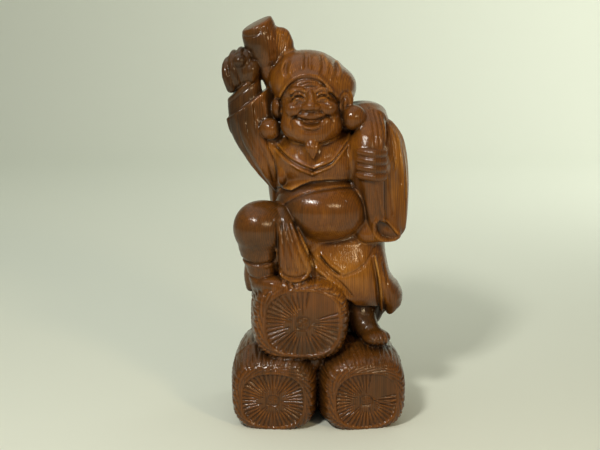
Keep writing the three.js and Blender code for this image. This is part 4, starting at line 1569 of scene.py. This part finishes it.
@dataclass(frozen=True)
class VarnishedWood:
    """Wood with upright grain under a gloss varnish, with painted shade near black in its recesses.

    Its tone runs from a dark olive brown through red brown to a worn gold. The growth rings are
    even steps of the distance to a pith beside the figure, so that they show as upright lines on
    its front and as contour lines on its sides, and the fibres are a noise stretched upwards.
    """

    name: str = "varnished_wood"
    tones: Sequence[tuple[float, Spot]] = (
        (0.0, (0.030, 0.013, 0.004)),
        (0.25, (0.072, 0.028, 0.005)),
        (0.5, (0.150, 0.048, 0.005)),
        (0.75, (0.290, 0.108, 0.010)),
        (1.0, (0.500, 0.260, 0.060)),
    )
    # the near-black colour of the painted shade in the recesses
    dark: Spot = (0.018, 0.009, 0.004)
    pith: Spot = (-0.3, 0.09, 0)
    ring: float = 0.0017  # from one growth ring to the next, in metres
    sway: float = 6  # how far the rings wander, in rings
    fibre_grains: float = 750  # the grains of each noise to the metre
    streak_grains: float = 260
    cloud_grains: float = 34
    bend_grains: float = 16
    streak_tone: float = 0.3  # how much the streaks, the clouds and the rings change the tone
    cloud_tone: float = 0.36
    ring_tone: float = -0.18
    darker: float = 0.38  # what is taken off the tone, to make up for the noises' own mean
    fibre_shade: Point = (1.3, 0.33)  # the slope and the start of the shade over the fibres
    fibre_share: float = 0.75  # how much of that shade is laid over the colour
    rough: Point = (0.2, 0.26)  # the slope and the start of the roughness over the clouds
    shine: float = 0.06
    varnish: float = 0.62
    varnish_rough: float = 0.14
    grain_height: float = 0.00035  # in metres

    def rings(self, nodes: Nodes, place: Socket) -> Socket:
        """The late wood of each growth ring, from 0 to 1.

        Args:
            nodes: The material's nodes.
            place: The place on the figure.

        Returns:
            The late wood.
        """
        level = nodes.scaled(nodes.add("VectorMath", place, self.pith, operation="SUBTRACT"), (1, 1, 0.06))
        away = nodes.add("VectorMath", level, out="Value", operation="LENGTH")
        bend = nodes.noise(nodes.scaled(place, (1, 1, 0.35)), self.bend_grains, 1)
        count = nodes.sum(Sum.TIMES_PLUS, bend, self.sway, nodes.sum(Sum.TIMES, away, 1 / self.ring))
        return nodes.sum(Sum.POWER, nodes.sum(Sum.PART_OF_ONE, count), 3)

    def tone(self, nodes: Nodes, place: Socket, rings: Socket, cloud: Socket) -> Socket:
        """The tone of the wood, from 0 where it is darkest to 1 where it is most worn or carries painted
        highlight.

        Args:
            nodes: The material's nodes.
            place: The place on the figure.
            rings: The late wood of the growth rings.
            cloud: The noise that varies the tone over a few centimetres.

        Returns:
            The mesh's own tone, which also holds painted shade and painted highlight, with the streaks, the
            clouds and the rings.
        """
        streaks = nodes.noise(nodes.scaled(place, (1, 1, 0.05)), self.streak_grains, 3)
        tone = nodes.sum(Sum.TIMES_PLUS, streaks, self.streak_tone, nodes.attribute("tone"))
        tone = nodes.sum(Sum.TIMES_PLUS, cloud, self.cloud_tone, tone)
        tone = nodes.sum(Sum.LESS, tone, self.darker)
        return nodes.sum(Sum.TIMES_PLUS, rings, self.ring_tone, tone)

    def colour(self, nodes: Nodes, tone: Socket, fibres: Socket) -> Socket:
        """The colour of the tone, shaded along the fibres, with painted shade near black in the recesses.

        Args:
            nodes: The material's nodes.
            tone: The tone of the wood.
            fibres: The noise along the grain.

        Returns:
            The colour.
        """
        line = nodes.sum(Sum.TIMES_PLUS, fibres, *self.fibre_shade)
        shade = nodes.add("CombineColor", line, line, line)
        colour = nodes.mixed(self.fibre_share, nodes.ramp(tone, self.tones), shade, Mixing.SHADE)
        # painted shade: the enclosed places are darkened towards near black
        return nodes.mixed(nodes.attribute("painted_shade"), colour, (*self.dark, 1))

    def material(self) -> bpy.types.Material:
        """Makes the material.

        Returns:
            The material.
        """
        nodes = Nodes(self.name)
        place = nodes.add("TexCoord", out="Object")
        fibres = nodes.noise(nodes.scaled(place, (1, 1, 0.03)), self.fibre_grains, 4)
        rings = self.rings(nodes, place)
        cloud = nodes.noise(place, self.cloud_grains)
        tone = self.tone(nodes, place, rings, cloud)
        height = nodes.sum(Sum.TIMES_PLUS, rings, -0.6, fibres)
        grain = nodes.add("Bump", 0.5, self.grain_height, None, height)
        inputs = {
            "Base Color": self.colour(nodes, tone, fibres),
            "Roughness": nodes.sum(Sum.TIMES_PLUS, cloud, *self.rough),
            "Specular IOR Level": self.shine,
            "Coat Weight": self.varnish,
            "Coat Roughness": self.varnish_rough,
            "Normal": grain,
            "Coat Normal": grain,
        }
        for name, given in inputs.items():
            nodes.feed(nodes.shader.inputs[name], given)
        return nodes.material


@dataclass(frozen=True)
class StainOrPaintedLight:
    """A stretch of the wood that is lighter or darker than the rest, by its own staining or as painted
    shade or painted highlight, and fades away outwards.
    """

    centre: Spot
    radii: Spot
    amount: float

    def strength(self, points: Array) -> Array:
        """The amount, times a bell curve of the distance in radii."""
        share = (points - self.centre) / self.radii
        return self.amount * np.exp(-(share**2).sum(1))


@dataclass(frozen=True)
class ShadeAndWear:
    """The painted shade of enclosed places, ridges lighter as worn edges and painted highlight, and
    stretches of staining, painted shade and painted highlight.
    """

    # painted shade: the lengths out from the surface at which enclosing wood darkens a place
    lengths: Sequence[Point] = ((1.6, 0.3), (4, 0.3), (9, 0.25), (20, 0.15))  # each with its weight
    gain: float = 1.8  # how fast it darkens with how enclosed it is
    clear: float = 0.14  # what stays without dark of that
    shade_off_ridges: float = 0.4  # how much less painted shade a ridge gets
    curve: float = 1.1
    darkest: float = 0.85
    behind: float = 2.5  # how far behind a place the end of the wood makes it a ridge
    wear_and_highlight: float = 0.34  # how much lighter a ridge is, as worn edges and painted highlight
    stains_and_painted_light: Sequence[StainOrPaintedLight] = (
        StainOrPaintedLight((28, -30, 150), (40, 50, 38), 0.3),  # the front of the skirt
        StainOrPaintedLight((-24, -50, 172), (18, 24, 30), 0.22),  # the cloth over the thigh
        StainOrPaintedLight((84, 0, 262), (22, 60, 56), 0.34),  # the sack and the sleeve at the right
        StainOrPaintedLight((-40, -10, 258), (18, 30, 26), 0.2),  # the robe below the armpit
        # a lighter tone with painted highlight on the chest
        StainOrPaintedLight((5, -50, 268), (44, 30, 30), 0.12),  # the chest
        StainOrPaintedLight((-34, 0, 374), (14, 20, 22), 0.14),  # the back of the mallet
        StainOrPaintedLight((0, -20, 340), (46, 40, 40), 0.16),  # the cap and the forehead
        # painted shade on the left side, over a darker tone
        StainOrPaintedLight((-88, -20, 300), (22, 34, 60), -0.46),  # the raised sleeve
        # painted shade on the left side, over a darker tone
        StainOrPaintedLight((-70, -20, 366), (22, 34, 30), -0.26),  # the fist and the front of the mallet
        # a lighter worn edge with painted highlight
        StainOrPaintedLight((-4, -44, 164), (9, 20, 12), 0.2),  # the edge of the flap
        # painted shade in the hollow between the knee and the belly
        StainOrPaintedLight((-34, -40, 206), (20, 30, 24), -0.3),  # between the knee and the belly
        # painted shade below the knee
        StainOrPaintedLight((-60, -50, 178), (26, 40, 26), -0.14),  # the shin
        StainOrPaintedLight((54, -52, 259), (14, 20, 18), -0.16),  # the fingers on the neck of the sack
        StainOrPaintedLight((0, 0, 40), (140, 120, 52), -0.16),  # the lower bales
        StainOrPaintedLight((-15, -60, 108), (46, 40, 38), -0.12),  # the upper bale
        StainOrPaintedLight((56, -10, 100), (24, 40, 20), -0.3),  # the foot in the shade of the robe
    )

    def ridge(self, block: Block, points: Array) -> Array:
        """How close behind each place the wood ends, as on a ridge, from 0 on the flat to 1."""
        return np.clip(block.at(points - block.slope(points) * self.behind) / self.behind + 1, 0, 1)

    def painted_shade(self, block: Block, points: Array) -> Array:
        """The painted shade at each place, by how enclosed it is, from 0 in the open to the darkest.

        It grows with the share of the way out that the nearest wood takes up, weighed over four
        lengths, less a little where the wood ends close behind the place, as on a ridge.

        Args:
            block: The block of wood that is carved.
            points: The places, in the block's millimetres.

        Returns:
            How dark the painted shade makes each place.
        """
        out = block.slope(points)
        enclosed = np.zeros(len(points))
        for length, weight in self.lengths:
            free = np.clip(block.at(points + out * length) / length, 0, 1)
            enclosed += weight * (1 - free)
        # painted shade grows with how enclosed a place is, and is less on ridges
        dark = self.gain * enclosed - self.shade_off_ridges * self.ridge(block, points) - self.clear
        return self.darkest * np.clip(dark, 0, 1) ** self.curve

    def tone(self, block: Block, points: Array) -> Array:
        """The wood's tone at each place: a half, with the ridges lighter as worn edges and painted
        highlight, and every stretch of staining, painted shade and painted highlight.
        """
        stained_or_painted = sum(patch.strength(points) for patch in self.stains_and_painted_light)
        # ridges lighter as worn edges and painted highlight, plus every stretch of staining, painted shade
        # and painted highlight
        return 0.5 + self.wear_and_highlight * self.ridge(block, points) + stained_or_painted


@dataclass(frozen=True)
class Carving:
    """The whole figure as one closed mesh."""

    low: Spot = (-100, -80, -8)
    high: Spot = (100, 80, 405)
    parts: Sequence[Part] = (
        Torso(), Sack(), Skirt(), Bales(), Legs(), SackArm(), RaisedArm(), Head(), Mallet(),
    )
    shade_and_wear: ShadeAndWear = ShadeAndWear()

    def block(self) -> Block:
        """Carves every part from a block, and cuts it off flat at the ground.

        Returns:
            The carved block.
        """
        block = Block(self.low, self.high, CELL)
        for part in self.parts:
            part.carve(block)
            if np.isnan(block.grid).any():
                raise ValueError(f"{type(part).__name__} left places without a distance")
            log.info("carved %s", type(part).__name__)
        height = block.low[2] + block.cell * np.arange(block.shape[2])
        block.grid = np.maximum(block.grid, GROUND - height.astype(np.float32))
        return block

    def home(self, points: Array) -> tuple[Array, Array, float]:
        """Where the block's places go in the frame.

        Args:
            points: The corners of the block's surface.

        Returns:
            The middle of the underside on the block and in the frame, and the scale between them.
        """
        low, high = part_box(NODE)
        base, top = points.min(0), points.max(0)
        middle = np.array([(base[0] + top[0]) / 2, (base[1] + top[1]) / 2, base[2]])
        home = np.array([(low.x + high.x) / 2, (low.y + high.y) / 2, low.z])
        return middle, home, (high.z - low.z) / (top[2] - base[2])

    def mesh(self, points: Array, faces: Array) -> bpy.types.Object:
        """Makes a closed mesh of the corners and four-sided faces, with few enough triangles.

        Args:
            points: The corners.
            faces: The four corners of each face.

        Returns:
            The piece, still in the block's millimetres.
        """
        mesh = bpy.data.meshes.new(NODE)
        mesh.vertices.add(len(points))
        mesh.vertices.foreach_set("co", points.astype(np.float32).ravel())
        mesh.loops.add(faces.size)
        mesh.loops.foreach_set("vertex_index", faces.astype(np.int32).ravel())
        mesh.polygons.add(len(faces))
        mesh.polygons.foreach_set("loop_start", np.arange(0, faces.size, 4, dtype=np.int32))
        mesh.update(calc_edges=True)
        piece = bpy.data.objects.new("carved_figure", mesh)
        bpy.context.scene.collection.objects.link(piece)
        if 2 * len(faces) > FINE_FACES:
            thin = piece.modifiers.new("thin", "DECIMATE")
            thin.ratio = FINE_FACES / (2 * len(faces))
            ready = piece.evaluated_get(bpy.context.evaluated_depsgraph_get())
            done = bpy.data.meshes.new_from_object(ready)
            piece.modifiers.clear()
            piece.data = done
        piece.data.polygons.foreach_set("use_smooth", np.ones(len(piece.data.polygons), bool))
        return piece

    def build(self) -> bpy.types.Object:
        """Makes the mesh, gives it its finish, and lets it stand for the CAD node.

        Returns:
            The piece, in its place in the frame.
        """
        block = self.block()
        points, faces = block.surface()
        points[:, 2] = np.where(points[:, 2] < GROUND + 0.5 * CELL, GROUND, points[:, 2])
        middle, home, scale = self.home(points)
        piece = self.mesh(points, faces)
        spots = np.empty(3 * len(piece.data.vertices), np.float32)
        piece.data.vertices.foreach_get("co", spots)
        spots = spots.reshape(-1, 3).astype(float)
        # painted shade of the enclosed places, and the tone with staining, worn ridges, painted shade and
        # painted highlight
        marks = {
            "painted_shade": self.shade_and_wear.painted_shade(block, spots),
            "tone": self.shade_and_wear.tone(block, spots),
        }
        for name, values in marks.items():
            made = piece.data.attributes.new(name, "FLOAT", "POINT")
            made.data.foreach_set("value", values.astype(np.float32))
        placed = (spots - middle) * scale + home
        piece.data.vertices.foreach_set("co", placed.astype(np.float32).ravel())
        piece.data.update()
        piece.data.materials.clear()
        piece.data.materials.append(VarnishedWood().material())
        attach(piece, BODY)
        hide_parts(NODE)
        return piece


# The studio, in metres

@dataclass(frozen=True)
class Lamp:
    """A square lamp, which the camera doesn't see."""

    name: str
    place: Spot
    size: float  # its side
    power: float  # in watts
    colour: Spot
    aim: Spot = (0, 0, 0.2)  # the place that it faces

    def build(self) -> None:
        """Puts the lamp in its place and turns it to its aim."""
        lamp = bpy.data.lights.new(self.name, "AREA")
        lamp.size, lamp.energy, lamp.color = self.size, self.power, self.colour
        made = bpy.data.objects.new(self.name, lamp)
        made.location = self.place
        towards = Vector(self.aim) - Vector(self.place)
        made.rotation_euler = towards.to_track_quat("-Z", "Y").to_euler()
        made.visible_camera = False
        bpy.context.scene.collection.objects.link(made)


@dataclass(frozen=True)
class Studio:
    """A pale floor that sweeps up behind, soft lights, and the camera of the photograph."""

    distance: float = 1.3  # of the camera from the figure
    elevation: float = math.radians(12)
    aim_height: float = 0.1941
    aside: float = -0.01617
    lens: float = 77.17  # in millimetres, over a picture of the sensor's width
    sensor: float = 36
    reach: float = 3.5  # how far the floor goes to either side, to the front and up
    bend: float = 0.8  # the radius of its sweep
    flat: float = 1.6  # where the sweep begins behind
    floor_colour: Spot = (0.76, 0.8, 0.7)
    sky_colour: Spot = (0.9, 0.92, 0.84)
    sky_strength: float = 0.17
    lamps: Sequence[Lamp] = (
        Lamp("key", (-0.5, -1.15, 1.2), 0.19, 15, (1, 0.96, 0.88)),
        Lamp("glow", (0.75, -1.15, 0.75), 0.2, 5, (1, 0.76, 0.45)),
        Lamp("top", (-0.3, 0.1, 1.9), 2.4, 11.5, (0.98, 1, 0.95)),
        Lamp("wall", (1.2, 1.0, 1.2), 0.8, 18, (1, 1, 0.92), (0.6, 2.3, 0.5)),
    )

    def floor_mesh(self) -> bpy.types.Mesh:
        """A sheet along X whose section is flat, then a quarter circle, then upright.

        Returns:
            The mesh.
        """
        turn = np.linspace(0, np.pi / 2, 24)
        y = np.concatenate([[-self.reach], self.flat + self.bend * np.sin(turn), [self.flat + self.bend]])
        z = np.concatenate([[0], self.bend * (1 - np.cos(turn)), [self.reach]])
        points = np.array([[x, v, w] for x in (-self.reach, self.reach) for v, w in zip(y, z)])
        n = len(y)
        faces = [(i, i + n, i + n + 1, i + 1) for i in range(n - 1)]
        mesh = bpy.data.meshes.new("floor")
        mesh.from_pydata(points.tolist(), [], faces)
        mesh.polygons.foreach_set("use_smooth", np.ones(len(faces), bool))
        return mesh

    def floor(self) -> None:
        """Lays the pale floor."""
        mesh = self.floor_mesh()
        floor = bpy.data.objects.new("floor", mesh)
        bpy.context.scene.collection.objects.link(floor)
        nodes = Nodes("pale_floor")
        nodes.feed(nodes.shader.inputs["Base Color"], (*self.floor_colour, 1))
        nodes.feed(nodes.shader.inputs["Roughness"], 0.9)
        mesh.materials.append(nodes.material)

    def camera(self) -> None:
        """Puts the camera where the photograph was taken from."""
        data = bpy.data.cameras.new("camera")
        data.sensor_width, data.lens = self.sensor, self.lens
        made = bpy.data.objects.new("camera", data)
        back = self.distance * math.cos(self.elevation)
        made.location = (self.aside, -back, self.aim_height + self.distance * math.sin(self.elevation))
        made.rotation_euler = (math.pi / 2 - self.elevation, 0, 0)
        bpy.context.scene.collection.objects.link(made)
        bpy.context.scene.camera = made

    def sky(self) -> None:
        """Lights the room evenly, a little."""
        world = bpy.data.worlds.new("room")
        world.use_nodes = True
        background = world.node_tree.nodes["Background"]
        background.inputs["Color"].default_value = (*self.sky_colour, 1)
        background.inputs["Strength"].default_value = self.sky_strength
        bpy.context.scene.world = world

    def build(self) -> None:
        """Sets the floor, the lamps, the sky and the camera, for plain colours."""
        self.floor()
        for lamp in self.lamps:
            lamp.build()
        self.sky()
        self.camera()
        bpy.context.scene.view_settings.view_transform = "Standard"


def main() -> None:
    """Builds the studio and the carving, and reports each."""
    logging.basicConfig(level=logging.INFO, format="%(name)s: %(message)s")
    Studio().build()
    log.info("studio set")
    piece = Carving().build()
    log.info("%s: %d faces", piece.name, len(piece.data.polygons))


if __name__ == "__main__":
    main()
